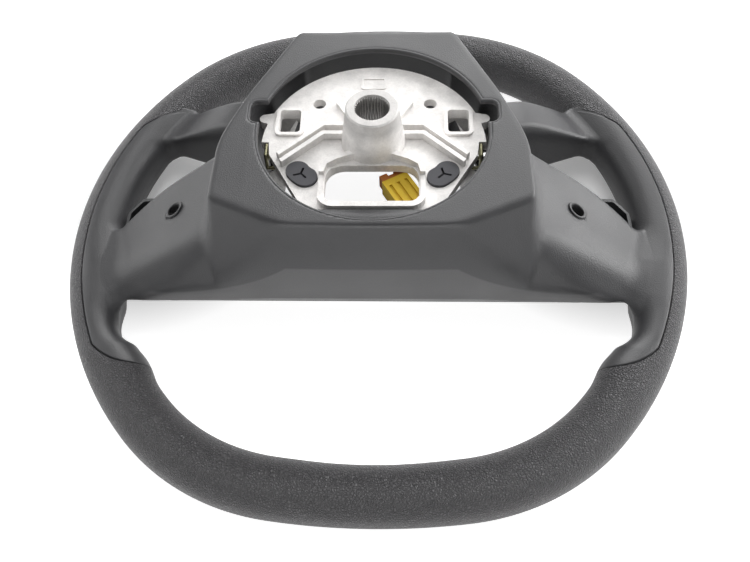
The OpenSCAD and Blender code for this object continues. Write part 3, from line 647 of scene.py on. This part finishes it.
@dataclass
class Seam:
    """Where the right grip back ends, as turn fractions and section angles."""

    rim: Rim
    phi_low: float = -20.0

    def __post_init__(self) -> None:
        """Tabulates the turn fraction against the angle about the rim's middle."""
        s = np.linspace(-0.5, 0.5, 4001)
        line, _ = self.rim.along(s)
        angle = np.degrees(np.unwrap(np.arctan2(line[:, 1] + self.rim.low, line[:, 0])))
        self.table_angle = angle - 360.0 * round(angle[2000] / 360.0)
        self.table_s = s

    def fraction(self, angle: Array) -> Array:
        """Turn fraction of an angle in degrees about the middle, between -180 and 180."""
        return np.interp(angle, self.table_angle, self.table_s)

    def angle(self, s: Array) -> Array:
        """Angle in degrees about the middle of a turn fraction, the inverse of fraction."""
        return np.interp((np.asarray(s) + 0.5) % 1.0 - 0.5, self.table_s, self.table_angle)

    def scoop(self, angle: Array, phi: Array) -> Array:
        """Depth of the thumb's rest below each spoke: a bell along the rim times a bell round its inner side.

        Args:
            angle: Angle in degrees about the middle.
            phi: Section angle in radians.

        Returns:
            Depth in millimetres, 6.2 in the middle of the rest and below 0 on the swelling that follows it.
        """
        side = np.where(angle > -25.6, 7.6, 5.4)
        bell = np.clip(1 - ((angle + 25.6) / side) ** 2, 0, None) ** 1.3
        swell = 1.9 * np.exp(-(((angle + 35.4) / 3.6) ** 2)) + 0.8 / (1 + np.exp(0.9 * (angle + 33.0)))
        swell = swell / (1 + np.exp(-0.4 * (angle + 80.0)))
        inner = np.clip(np.cos(phi * 0.85), 0, None)
        return 6.2 * bell * inner ** 1.5 - swell * inner

    def scooped(self, p: Array) -> Array:
        """Distance to the tube's surface with the thumb's rests taken out, for points with x above 0."""
        u = self.rim.offset(p[:, 0], p[:, 1])
        angle = np.degrees(np.arctan2(p[:, 1] + self.rim.low, p[:, 0]))
        return self.rim.tube(p) + self.scoop(angle, np.arctan2(p[:, 2] - self.rim.z, -u))

    def upper_end(self, phi: Array) -> Array:
        """Turn fraction of the grip's upper end: 39.2 degrees inside, curving down to 27.5 at the long seam."""
        return self.fraction(39.2 - 11.7 * np.clip(phi / np.radians(100.0), 0, 1) ** 1.9)

    def lower_end(self, phi: Array) -> Array:
        """Turn fraction of the grip's lower end: -37.1 degrees inside, curving up to -29.1 at the long seam."""
        return self.fraction(-37.1 + 8.0 * np.clip(phi / np.radians(112.0), 0, 1) ** 3.3)

    def slant(self, end: Callable[[Array], Array], phi: Array) -> Array:
        """Cosine of an end line's slant to the section: true distance over distance along the rim.

        Args:
            end: upper_end or lower_end.
            phi: Section angle in radians.

        Returns:
            Values from 0 to 1.
        """
        step = 0.01
        rise = (end(phi + step) - end(phi - step)) * 4 * self.rim.lengths.sum() / (2 * step * self.rim.tube_r)
        return 1 / np.sqrt(1 + rise * rise)

    def phi_high(self, s: Array) -> Array:
        """Section angle of the seam along the back, which drifts from 112 degrees at its lower end to 100."""
        w = np.clip((s - self.fraction(-29.0)) / (self.fraction(27.5) - self.fraction(-29.0)), 0, 1)
        return np.radians(112.0 - 12.0 * w)


class RimSkin:
    """The soft skin of the rim and the smooth grip backs let into it. Sizes in millimetres."""

    proud = 3.0
    skirt = 2.6
    sunk = 3.4

    def __init__(self, rim: Rim, seam: Seam, solid: Field) -> None:
        """Keeps the shapes that the grids follow.

        Args:
            rim: The rim's line and tube.
            seam: Where the right grip back ends.
            solid: The rear cover's outer field, whose fillets the grip backs follow.
        """
        self.rim, self.seam, self.solid = rim, seam, solid

    @staticmethod
    def ticks(stops: Sequence[float], pitch: float, near: Sequence[float], fine: Sequence[float]) -> Array:
        """Grid lines from the first stop to the last, closer together beside the stops named in near."""
        marks = [np.linspace(a, b, max(2, int(np.ceil(abs(b - a) / pitch)) + 1)) for a, b in zip(stops, stops[1:])]
        extra = [n + np.array(fine) * sign for n in near for sign in (-1, 1)]
        return np.unique(np.round(np.concatenate(marks + extra), 6))

    def grip(self, side: float) -> bpy.types.Object:
        """Makes one grip back: a grid from end seam to end seam whose edges roll into the seam.

        Args:
            side: 1 on the right and -1 on the left.

        Returns:
            The piece.
        """
        lines = np.array([0, 0.15, 0.3, 0.45, 0.6, 0.8, 1.1])
        near = 0.0016 * lines / 1.1 * 2.4
        u = np.unique(np.concatenate([np.linspace(0, 1, 150), near, 1 - near]))
        v = np.unique(np.concatenate([np.linspace(0, 1, 60), lines / 34.0, 1 - lines / 34.0]))
        gu, gv = np.meshgrid(u, v, indexing="ij")
        seam, rim = self.seam, self.rim
        low = np.radians(seam.phi_low)
        phi = low + gv * (np.radians(108.0) - low)
        s = seam.lower_end(phi) + gu * (seam.upper_end(phi) - seam.lower_end(phi))
        phi = low + gv * (seam.phi_high(s) - low)
        long = seam.upper_end(phi) - seam.lower_end(phi)
        s = seam.lower_end(phi) + gu * long
        length_u = long * 4 * rim.lengths.sum()
        length_v = (seam.phi_high(s) - low) * rim.tube_r
        down, up = seam.slant(seam.lower_end, phi), seam.slant(seam.upper_end, phi)
        edge = np.minimum(np.minimum(gu * down, (1 - gu) * up) * length_u, np.minimum(gv, 1 - gv) * length_v)
        depth = seam.scoop(seam.angle(s), phi)
        proud = np.clip(-self.solid(rim.surface(s, phi, depth).reshape(-1, 3)), 0, self.proud).reshape(s.shape)
        outer = rim.surface(s, phi, depth - proud + self.roll(edge))
        inner = rim.surface(s, phi, depth + self.skirt)
        points, faces = self.close_edges(outer, inner, grid_faces(len(u), len(v)))
        if side > 0:
            faces = faces[:, ::-1]
        return piece(sided(side, "grip_back"), points * np.array([side, 1, 1]), faces, Finish.COVER)

    def roll(self, edge: Array) -> Array:
        """Depth of the rolled edge at a distance from the seam: a quarter round of radius shoulder, then a drop."""
        r, half = self.rim.shoulder, self.rim.seam_half
        x = np.clip(edge - half, 0, r)
        return np.where(edge < half, self.rim.seam_depth, r - np.sqrt(np.clip(r * r - (r - x) ** 2, 0, None)))

    @staticmethod
    def close_edges(outer: Array, inner: Array, faces: Array) -> tuple[Array, Array]:
        """Joins a grid and a second one below it along their border, so that the piece is closed."""
        n = outer.shape[0] * outer.shape[1]
        number = np.arange(n).reshape(outer.shape[:2])
        ring = np.concatenate([number[0, :], number[1:, -1], number[-1, -2::-1], number[-2:0:-1, 0]])
        nxt = np.roll(ring, -1)
        wall = np.stack([ring, ring + n, nxt + n, nxt], 1)
        points = np.concatenate([outer.reshape(-1, 3), inner.reshape(-1, 3)])
        return points, np.concatenate([faces, faces[:, ::-1] + n, wall])

    def skin(self) -> bpy.types.Object:
        """Makes the whole rim's skin: a closed grid of turn and section angle that sinks under the grip backs.

        Grid lines follow the seams. Along the turn they lie at fractions of the stretch between the grip's ends,
        which themselves depend on the section angle, and round the section at fractions between its two seams.
        """
        quarter, seam = 0.25, self.seam
        base_up, base_down = float(seam.fraction(34.0)), float(seam.fraction(-34.5))
        fine = np.array([0.00018, 0.0004, 0.0006, 0.0008, 0.001, 0.00125, 0.0016, 0.0022])
        half = self.ticks([-quarter, base_down, base_up, quarter], 0.0026, [base_down, base_up], fine)
        phi_fine = np.array([0.012, 0.024, 0.036, 0.048, 0.062, 0.08, 0.11])
        low, high, full = np.radians(seam.phi_low), np.radians(108.0), 2 * np.pi
        v = self.ticks([low, high, low + full], 0.10, [low, high], phi_fine)
        v = v[(v >= low - 0.2) & (v < low + full - 0.13)]
        v = np.unique(np.where(v < low, v + full, v))
        gs, gv = np.meshgrid(half, v, indexing="ij")

        def section(end) -> Array:
            """Section angles of the grid when the long seam lies at the angle end."""
            return np.where(gv <= high, low + (gv - low) * (end - low) / (high - low),
                            end + (gv - high) * (low + full - end) / (low + full - high))

        phi_up, phi_down = (section(np.radians(end)) for end in (100.0, 112.0))
        phi_up, phi_down = (np.where(phi > np.pi, full - phi, phi) for phi in (phi_up, phi_down))
        s_up, s_down = seam.upper_end(phi_up), seam.lower_end(phi_down)
        up, down = seam.slant(seam.upper_end, phi_up), seam.slant(seam.lower_end, phi_down)
        s = np.where(
            gs >= base_up, s_up + (gs - base_up) * (quarter - s_up) / (quarter - base_up),
            np.where(gs <= base_down, s_down + (gs - base_down) * (s_down + quarter) / (base_down + quarter),
                     s_down + (gs - base_down) * (s_up - s_down) / (base_up - base_down)))
        top = seam.phi_high(s)
        phi = section(top)
        inside_s = np.minimum((s - s_down) * down, (s_up - s) * up) * (4 * self.rim.lengths.sum())
        inside_v = np.where(gv <= high, np.minimum(phi - low, top - phi), -np.minimum(phi - top, low + full - phi))
        inside_v = inside_v * self.rim.tube_r
        inside = np.minimum(inside_s, inside_v)
        corner = (inside_s < 0) & (inside_v < 0)
        outside = np.where(inside < 0, np.where(corner, np.hypot(inside_s, inside_v), -inside), 0)
        depth = np.where(inside > -self.rim.seam_half, self.sunk, np.minimum(self.roll(outside), self.sunk))
        depth = depth + seam.scoop(seam.angle(s), np.where(phi > np.pi, phi - full, phi))
        right = self.rim.surface(s, phi, depth)
        left = right[::-1] * np.array([-1, 1, 1])
        ring = np.concatenate([right, left[1:-1]])
        faces = grid_faces(ring.shape[0], ring.shape[1], True, True)
        return piece("rim_skin", ring, faces[:, ::-1], Finish.SKIN)

    def build(self) -> None:
        """Makes the skin and both grip backs."""
        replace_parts(self.skin(), "rim_foam")
        for side in (1.0, -1.0):
            self.grip(side)


# ------------------------------------------------------------------- the cover


@dataclass
class Cover:
    """The moulded rear cover. Sizes in millimetres, in the frame of the CAD."""

    rim: Rim
    seam: Seam
    wall: float = 2.8
    top_z: float = -15.0
    opening_r: float = 61.8
    lobe_x: float = 67.1
    lobe_low: float = 4.9
    lobe_high: float = 20.5
    lobe_r: float = 4.0
    access: tuple[float, float] = (112.0, -24.0)
    access_r: float = 3.6
    strip_z: float = -77.0
    strip_x: float = 57.0
    strip_fall: float = 0.075
    parting_z: float = -98.0
    step: float = 1.25
    edge_r: float = 3.0
    wing_x: float = 84.0
    wing_z: float = -34.0
    wing_slope: float = -0.72

    def __post_init__(self) -> None:
        """Works out the planes of the housing, the wing and the bar from their corner points."""
        r = self.edge_r
        z, low = self.top_z - r, -114.0
        half = [(43.5, 75, z), (73, 12, z), (80, -9, z), (80, -47, z), (44, -63.5, z), (38, -67.5, -47.5),
                (82, -67, -63), (82, -65, low), (82, -9, low), (75, 12, low), (44.5, 75, low)]
        block = half + [(-x, y, h) for x, y, h in half]
        x0, x1 = 75.0, 155.9
        upper = [(x0, 1.5), (118, -4), (136, -11), (x1, -24), (x1, -51)]
        wing = [(x, y, self.wing_top(max(x, x0 + 5)) - r * 1.23) for x, y in upper + [(x0, -51.5)]]
        wing += [(x, y, low) for x, y in upper]
        wing += [(x0, -67, -65), (x1 - 40, -66, -73), (x1 - 14, -64, -87.5), (x0, -65, low), (x1 - 14, -64, low),
                 (x1, -57, low)]
        bar = [(60, 33, -52), (96, 49, -64), (116.5, 54.5, -77), (134, 61, -89.5), (52, 52, -54), (90, 66, -63),
               (116, 76.5, -83.5), (123, 79, -90.5), (60, 33, low), (134, 61, low), (52, 52, low), (123, 79, low)]
        self.block, self.wing, self.bar = (hull_planes(pts, r) for pts in (block, wing, bar))

    def wing_top(self, x: Array) -> Array:
        """Height of the wing's sloping back at a distance from the middle."""
        return self.wing_z + self.wing_slope * (x - self.wing_x)

    def convex(self, p: Array, planes: tuple[Array, Array]) -> Array:
        """Highest of the plane distances, with edges rounded by blend_max."""
        normals, offsets = planes
        value = p @ normals[0] - offsets[0]
        for normal, offset in zip(normals[1:], offsets[1:]):
            value = blend_max(value, p @ normal - offset, self.edge_r)
        return value

    def forms(self, points: Array) -> tuple[Array, Array, Array]:
        """Fields of the cover's outer form: housing, wing, bar and grip, joined with fillets.

        Args:
            points: Points in millimetres.

        Returns:
            The form with its housing ended at the parting, the form without that end, and the tube alone.
        """
        p = np.array(points, float)
        p[:, 0] = np.abs(p[:, 0])
        block, wing, bar = (self.convex(p, planes) for planes in (self.block, self.wing, self.bar))
        tube = self.seam.scooped(p)
        body = blend_min(block, wing, 9.0 * np.clip((p[:, 1] + 67.0) / 12.0, 0.02, 1))
        reach = 8.0 + 7.0 * np.clip((-20.0 - p[:, 1]) / 20.0, 0, 1)
        cut = self.parting(p)
        soft = 6.0 + 5.0 * np.clip((p[:, 0] - 96.0) / 16.0, 0, 1)
        ended = blend_min(blend_min(blend_max(body, cut, 2.0), tube, reach), blend_max(bar, cut, 2.0), soft)
        return ended, blend_min(blend_min(body, tube, reach), bar, soft), tube

    def solid(self, points: Array) -> Array:
        """Field of the cover's outer form, ended at the parting."""
        return self.forms(points)[0]

    def opening(self, p: Array) -> Array:
        """Distance in plan to the opening's outline: a circle with a round lobe at each side."""
        x = np.abs(p[:, 0])
        circle = np.hypot(x, p[:, 1]) - self.opening_r
        middle, half = (self.lobe_low + self.lobe_high) / 2, (self.lobe_high - self.lobe_low) / 2 - self.lobe_r
        right = np.clip(x - self.lobe_x + self.lobe_r, 0, None)
        lobe = np.hypot(right, np.clip(np.abs(p[:, 1] - middle) - half, 0, None)) - self.lobe_r
        return np.minimum(circle, lobe)

    def parting(self, p: Array) -> Array:
        """Height below the parting with the front trim: strip_z at the lower edge, sloping to parting_z."""
        slope = np.clip((p[:, 1] + 64.0) / 19.0, 0, 1)
        x = np.abs(p[:, 0])
        strip = self.strip_z - self.strip_fall * np.clip(x - self.strip_x, 0, None)
        return (strip + slope * (self.parting_z - strip)) - p[:, 2]

    def shell(self, points: Array) -> Array:
        """Field of the cover's wall, open at the opening, the holes and the parting."""
        p = np.array(points, float)
        p[:, 0] = np.abs(p[:, 0])
        u = self.rim.offset(p[:, 0], p[:, 1])
        w = p[:, 2] - self.rim.z
        outer, whole, tube = self.forms(p)
        outer = outer + 0.25 * np.clip(3.0 - tube, 0, 1)
        value = np.maximum(outer, -(outer + self.wall))
        value = np.maximum(value, -np.maximum(whole + self.wall, u + 23.0))
        value = np.maximum(value, -(self.opening(p) + np.where(p[:, 2] > -40, -0.9, 200)))
        hole = np.hypot(p[:, 0] - self.access[0], p[:, 1] - self.access[1]) - self.access_r - 0.9
        value = np.maximum(value, -hole)
        high, low = np.radians(88.0), np.radians(-16.0)
        beyond = np.maximum(u * np.sin(high) + w * np.cos(high), u * np.sin(-low) - w * np.cos(low))
        ends = np.maximum(p[:, 1] - 84.0, -98.0 - p[:, 1])
        return np.maximum(value, np.where(u > -19.0, np.maximum(np.where(u > -16.0, beyond, -50.0), ends), -50.0))

    def body(self) -> bpy.types.Object:
        """Makes the moulding: the zero level on a lattice over the right half, settled and mirrored."""
        low = np.array([-self.step, -102.0, -103.0])
        high = np.array([172.0, 90.0, -12.0])
        count = np.ceil((high - low) / self.step).astype(int) + 1
        axes = [low[a] + self.step * np.arange(count[a]) for a in range(3)]
        mesh = np.stack(np.meshgrid(*axes, indexing="ij"), -1).reshape(-1, 3)
        values = np.concatenate([self.shell(part) for part in np.array_split(mesh, 24)]).reshape(count)
        points, quads = surface_nets(values, low, self.step)
        points = settle(points, self.shell)
        keep = np.all(points[quads][:, :, 0] > -0.9 * self.step, 1)
        quads = quads[keep]
        points[:, 0] = np.where(points[:, 0] < 0.75 * self.step, np.clip(points[:, 0], 0, None), points[:, 0])
        both = np.concatenate([points, points * np.array([-1, 1, 1])])
        quads = np.concatenate([quads, quads[:, ::-1] + len(points)])
        obj = self.moulded("cover_moulding", both, quads)
        self.weld(obj)
        return obj

    @staticmethod
    def moulded(name: str, points: Array, faces: Array) -> bpy.types.Object:
        """Makes a piece of the cover's plastic."""
        return piece(name, points, faces, Finish.COVER)

    @staticmethod
    def weld(obj: bpy.types.Object) -> None:
        """Merges doubled points and removes loose ones."""
        mesh = bmesh.new()
        mesh.from_mesh(obj.data)
        bmesh.ops.remove_doubles(mesh, verts=mesh.verts, dist=0.0004)
        loose = [v for v in mesh.verts if not v.link_faces]
        bmesh.ops.delete(mesh, geom=loose, context="VERTS")
        mesh.to_mesh(obj.data)
        mesh.free()
        obj.data.update()
        LOG.info("%s: %d faces after welding", obj.name, len(obj.data.polygons))

    def outline(self, grow: float, arc: int = 120) -> Array:
        """The opening's outline moved outwards by grow, anticlockwise: circle, left notch, circle, right notch."""
        radius, x1 = self.opening_r + grow, self.lobe_x + grow
        y0, y1, r = self.lobe_low - grow, self.lobe_high + grow, self.lobe_r + grow
        top, bottom = np.arcsin(y1 / radius), np.arcsin(y0 / radius)
        upper = np.linspace(top, np.pi - top, arc)
        lower = np.linspace(np.pi - bottom, 2 * np.pi + bottom, arc)
        turn = np.linspace(0, np.pi / 2, 9)
        first = np.column_stack([x1 - r + r * np.sin(turn), y0 + r - r * np.cos(turn)])
        second = np.column_stack([x1 - r + r * np.cos(turn), y1 - r + r * np.sin(turn)])
        right = np.concatenate([first, second])
        left = right[::-1] * np.array([-1, 1])
        return np.concatenate([
            np.column_stack([radius * np.cos(upper), radius * np.sin(upper)]), left,
            np.column_stack([radius * np.cos(lower), radius * np.sin(lower)]), right])

    def collar(self) -> bpy.types.Object:
        """Makes the opening's lip: a rounded profile carried along the outline."""
        r = 0.8
        turn = np.linspace(0, np.pi / 2, 6)
        profile = [(1.6, -0.4), (1.3, 0.03)] + [(r - r * np.sin(a), -(r - r * np.cos(a)) + 0.03) for a in turn]
        profile += [(0.0, -1.6), (0.0, -3.0), (2.0, -3.0), (2.4, -2.0)]
        lines = [self.outline(grow) for grow, _ in profile]
        count = len(lines[0])
        rings = [np.column_stack([line, np.full(count, self.top_z + z)]) for line, (_, z) in zip(lines, profile)]
        return self.moulded("opening_lip", np.stack(rings, 1), grid_faces(count, len(profile), True, True))

    def ledge(self) -> bpy.types.Object:
        """Makes the crescent ledge: it fills the opening from a straight chord to the lower outline."""
        chord, z, thick, r = -52.4, -19.6, 1.8, 0.5
        reach = np.sqrt((self.opening_r + 1.0) ** 2 - chord ** 2)
        x = reach * np.sin(np.linspace(-np.pi / 2, np.pi / 2, 121))[:, None]
        far = -np.sqrt((self.opening_r + 1.0) ** 2 - np.minimum(x * x, reach * reach))
        across = np.array([0.0, 0.0, 0.02, 0.5, 1.0, 1.0])
        drop = np.array([-thick, -r, 0.0, 0.0, 0.0, -thick])
        y = chord + across * (far - chord)
        points = np.stack([x + 0 * y, y, z + drop + 0 * y], -1)
        return self.moulded("opening_ledge", points, grid_faces(len(x), len(across), False, True))

    def access_ring(self, side: float) -> bpy.types.Object:
        """Makes the rolled edge and bore of one screw access hole, flush with the sloping wing."""
        t = np.linspace(0, 2 * np.pi, 48, endpoint=False)
        profile = [(1.5, -0.5), (1.3, 0.01), (1.1, 0.012), (0.9, 0.008), (0.5, -0.1), (0.2, -0.35), (0.0, -0.8),
                   (0.0, -7.5), (1.6, -7.5)]
        rings = []
        for grow, drop in profile:
            x = self.access[0] + (self.access_r + grow) * np.cos(t)
            y = self.access[1] + (self.access_r + grow) * np.sin(t)
            rings.append(np.column_stack([x * side, y, self.wing_top(x) + drop]))
        faces = grid_faces(len(t), len(profile), True, True)
        return self.moulded(sided(side, "access_ring"), np.stack(rings, 1), faces if side > 0 else faces[:, ::-1])

    def build(self) -> None:
        """Makes the moulding, the lip, the ledge and the access rings."""
        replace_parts(self.body(), "rear_cover")
        self.collar()
        self.ledge()
        for side in (1.0, -1.0):
            self.access_ring(side)


# ------------------------------------------------------- CAD nodes and studio


@dataclass
class Spline:
    """The toothed sleeve in the hub bore."""

    bore_r: float = 9.4
    tooth: float = 0.75
    teeth: int = 36
    high: float = -1.2
    low: float = -21.6

    def build(self) -> None:
        """Makes the sleeve: radius = bore minus a clipped cosine of teeth times the turn angle, level by level."""
        t = np.linspace(0, 2 * np.pi, self.teeth * 12, endpoint=False)
        wave = np.clip(0.5 + 1.1 * np.cos(self.teeth * t), 0, 1)
        base, outer = self.bore_r + 0.02, self.bore_r + 0.3
        inner = base - self.tooth * wave
        levels = [(self.high, base), (self.high - 0.8, inner), (self.low + 0.8, inner), (self.low, base),
                  (self.low, outer), (self.high, outer)]
        rings = [np.column_stack([radius * np.cos(t), radius * np.sin(t), np.full(len(t), z)]) for z, radius in levels]
        faces = grid_faces(len(t), len(rings), True, True)
        piece("hub_spline", np.stack(rings, 1), faces[:, ::-1], Finish.STEEL)


class Hardware:
    """The CAD solids that show as they are, each with its finish."""

    FINISHES = {
        "armature": Finish.ALLOY, "front_bezel": Finish.TRIM, "pod": Finish.TRIM, "pod_back": Finish.INNER,
        "key_mat": Finish.MAT, "switch_board": Finish.BOARD, "upper_button": Finish.BUTTON,
        "lower_button": Finish.BUTTON, "rocker": Finish.BUTTON, "bar_trim": Finish.TRIM, "guide_bush": Finish.BUSH,
        "retaining_spring": Finish.WIRE, "airbag_connector": Finish.YELLOW, "connector_lock": Finish.ORANGE,
        "connector_clip": Finish.INNER, "cover_screws": Finish.SCREW, "pod_screws": Finish.SCREW,
    }

    def build(self) -> None:
        """Gives every shown node its finish."""
        for name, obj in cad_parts.items():
            key = name.replace("left_", "").replace("right_", "")
            if key in self.FINISHES:
                obj.data.materials.clear()
                obj.data.materials.append(self.FINISHES[key].material())
                LOG.info("%s keeps its CAD solid", name)


@dataclass
class Studio:
    """Near-white floor with painted shadow under the side windows, soft lamps and the camera of the photograph."""

    floor_z: float = -0.1127
    lens: float = 44.21
    eye: tuple[float, float, float] = (0.02084, -0.34773, 0.34114)
    window_x: float = 0.145
    window_y: float = 0.03
    ambient: float = 0.30
    sheen: float = 0.42

    def camera(self) -> None:
        """Places the camera by its right, up and backward directions."""
        data = bpy.data.cameras.new("camera")
        data.lens, data.sensor_width = self.lens, 36.0
        data.clip_start, data.clip_end = 0.01, 50.0
        right = np.array([0.99922, 0.02624, -0.02966])
        up = np.array([-0.00457, 0.82048, 0.57166])
        bpy.context.scene.camera = link("camera", data, pose(right, up, np.cross(right, up), self.eye))

    def floor(self) -> None:
        """Makes the floor, which the camera sees near white and which keeps the object's shadow, with painted shadow
        in two spots under the side windows; it also glows at 0.25 to every ray as a weak fill light.
        """
        reach = 6.0
        corners = [(x * reach, y * reach, self.floor_z) for x, y in ((-1, -1), (1, -1), (1, 1), (-1, 1))]
        mesh = bpy.data.meshes.new("floor")
        mesh.from_pydata(corners, [], [(0, 1, 2, 3)])
        g = Graph("floor_white")
        path = g.node("LightPath")
        seen = g.math("MAXIMUM", path.outputs["Is Camera Ray"], path.outputs["Is Glossy Ray"])
        # Painted shadow: the glow the camera sees falls off in two spots under the side windows.
        x, y, _ = g.axes()
        aside = g.math("SUBTRACT", g.math("ABSOLUTE", x, 0.0), self.window_x)
        ahead = g.math("SUBTRACT", y, self.window_y)
        away = g.math("SQRT", g.math("ADD", g.product(aside, aside), g.product(ahead, ahead)), 0.0)
        glow_with_painted_shadow = g.span(away, 0.03, 0.10, 0.02, 0.88)
        mesh.materials.append(g.shade(
            Base_Color=(0.80, 0.80, 0.80), Roughness=0.9, Emission_Color=(1.0, 1.0, 1.0), Specular_IOR_Level=0.0,
            Emission_Strength=g.math("MAXIMUM", g.product(seen, glow_with_painted_shadow), 0.25)))
        link("floor", mesh)

    @staticmethod
    def lamp(name: str, place: Sequence[float], target: Sequence[float], size: float, power: float) -> None:
        """Adds a soft square lamp that looks at a target."""
        data = bpy.data.lights.new(name, "AREA")
        data.shape, data.size, data.energy = "SQUARE", size, power
        back = np.array(place, float) - np.array(target, float)
        back /= np.linalg.norm(back)
        right = np.cross([0.0, 1.0, 0.0] if abs(back[2]) > 0.95 else [0.0, 0.0, 1.0], back)
        right /= np.linalg.norm(right)
        link(name, data, pose(right, np.cross(back, right), back, place))

    def lights(self) -> None:
        """Adds the lamps: behind, overhead, at both sides and low in front, the strongest behind and at the right."""
        self.lamp("back", (0.25, 1.7, 0.8), (0, 0, -0.05), 1.3, 26.0)
        self.lamp("overhead", (0.0, 0.4, 1.5), (0, 0, -0.05), 0.9, 7.0)
        self.lamp("right", (1.4, 0.6, 0.6), (0, 0, -0.05), 1.1, 25.0)
        self.lamp("left", (-1.4, 0.6, 0.6), (0, 0, -0.05), 1.1, 9.0)
        self.lamp("front", (0.0, -1.7, 0.03), (0, 0, -0.08), 0.8, 12.0)

    def world(self) -> None:
        """Sets an even surround: dim as a light, paler in gloss and white to the camera."""
        g = Graph("surround", world=True)
        bpy.context.scene.world = g.owner
        path = g.node("LightPath")
        light = g.span(path.outputs["Is Glossy Ray"], 0.0, 1.0, self.ambient, self.sheen)
        strength = g.math("MAXIMUM", path.outputs["Is Camera Ray"], light)
        back = g.node("Background", {"Color": (1.0, 1.0, 1.0, 1.0), "Strength": strength})
        g.tree.links.new(back.outputs[0], g.out)

    def build(self) -> None:
        """Makes the whole studio."""
        bpy.context.scene.view_settings.view_transform = "Standard"
        self.camera()
        self.floor()
        self.lights()
        self.world()


def main() -> None:
    """Builds the studio and the wheel."""
    logging.basicConfig(level=logging.INFO, format="%(message)s")
    Studio().build()
    rim = Rim()
    seam = Seam(rim)
    cover = Cover(rim, seam)
    cover.build()
    RimSkin(rim, seam, cover.solid).build()
    Spline().build()
    Hardware().build()


if __name__ == "__main__":
    main()
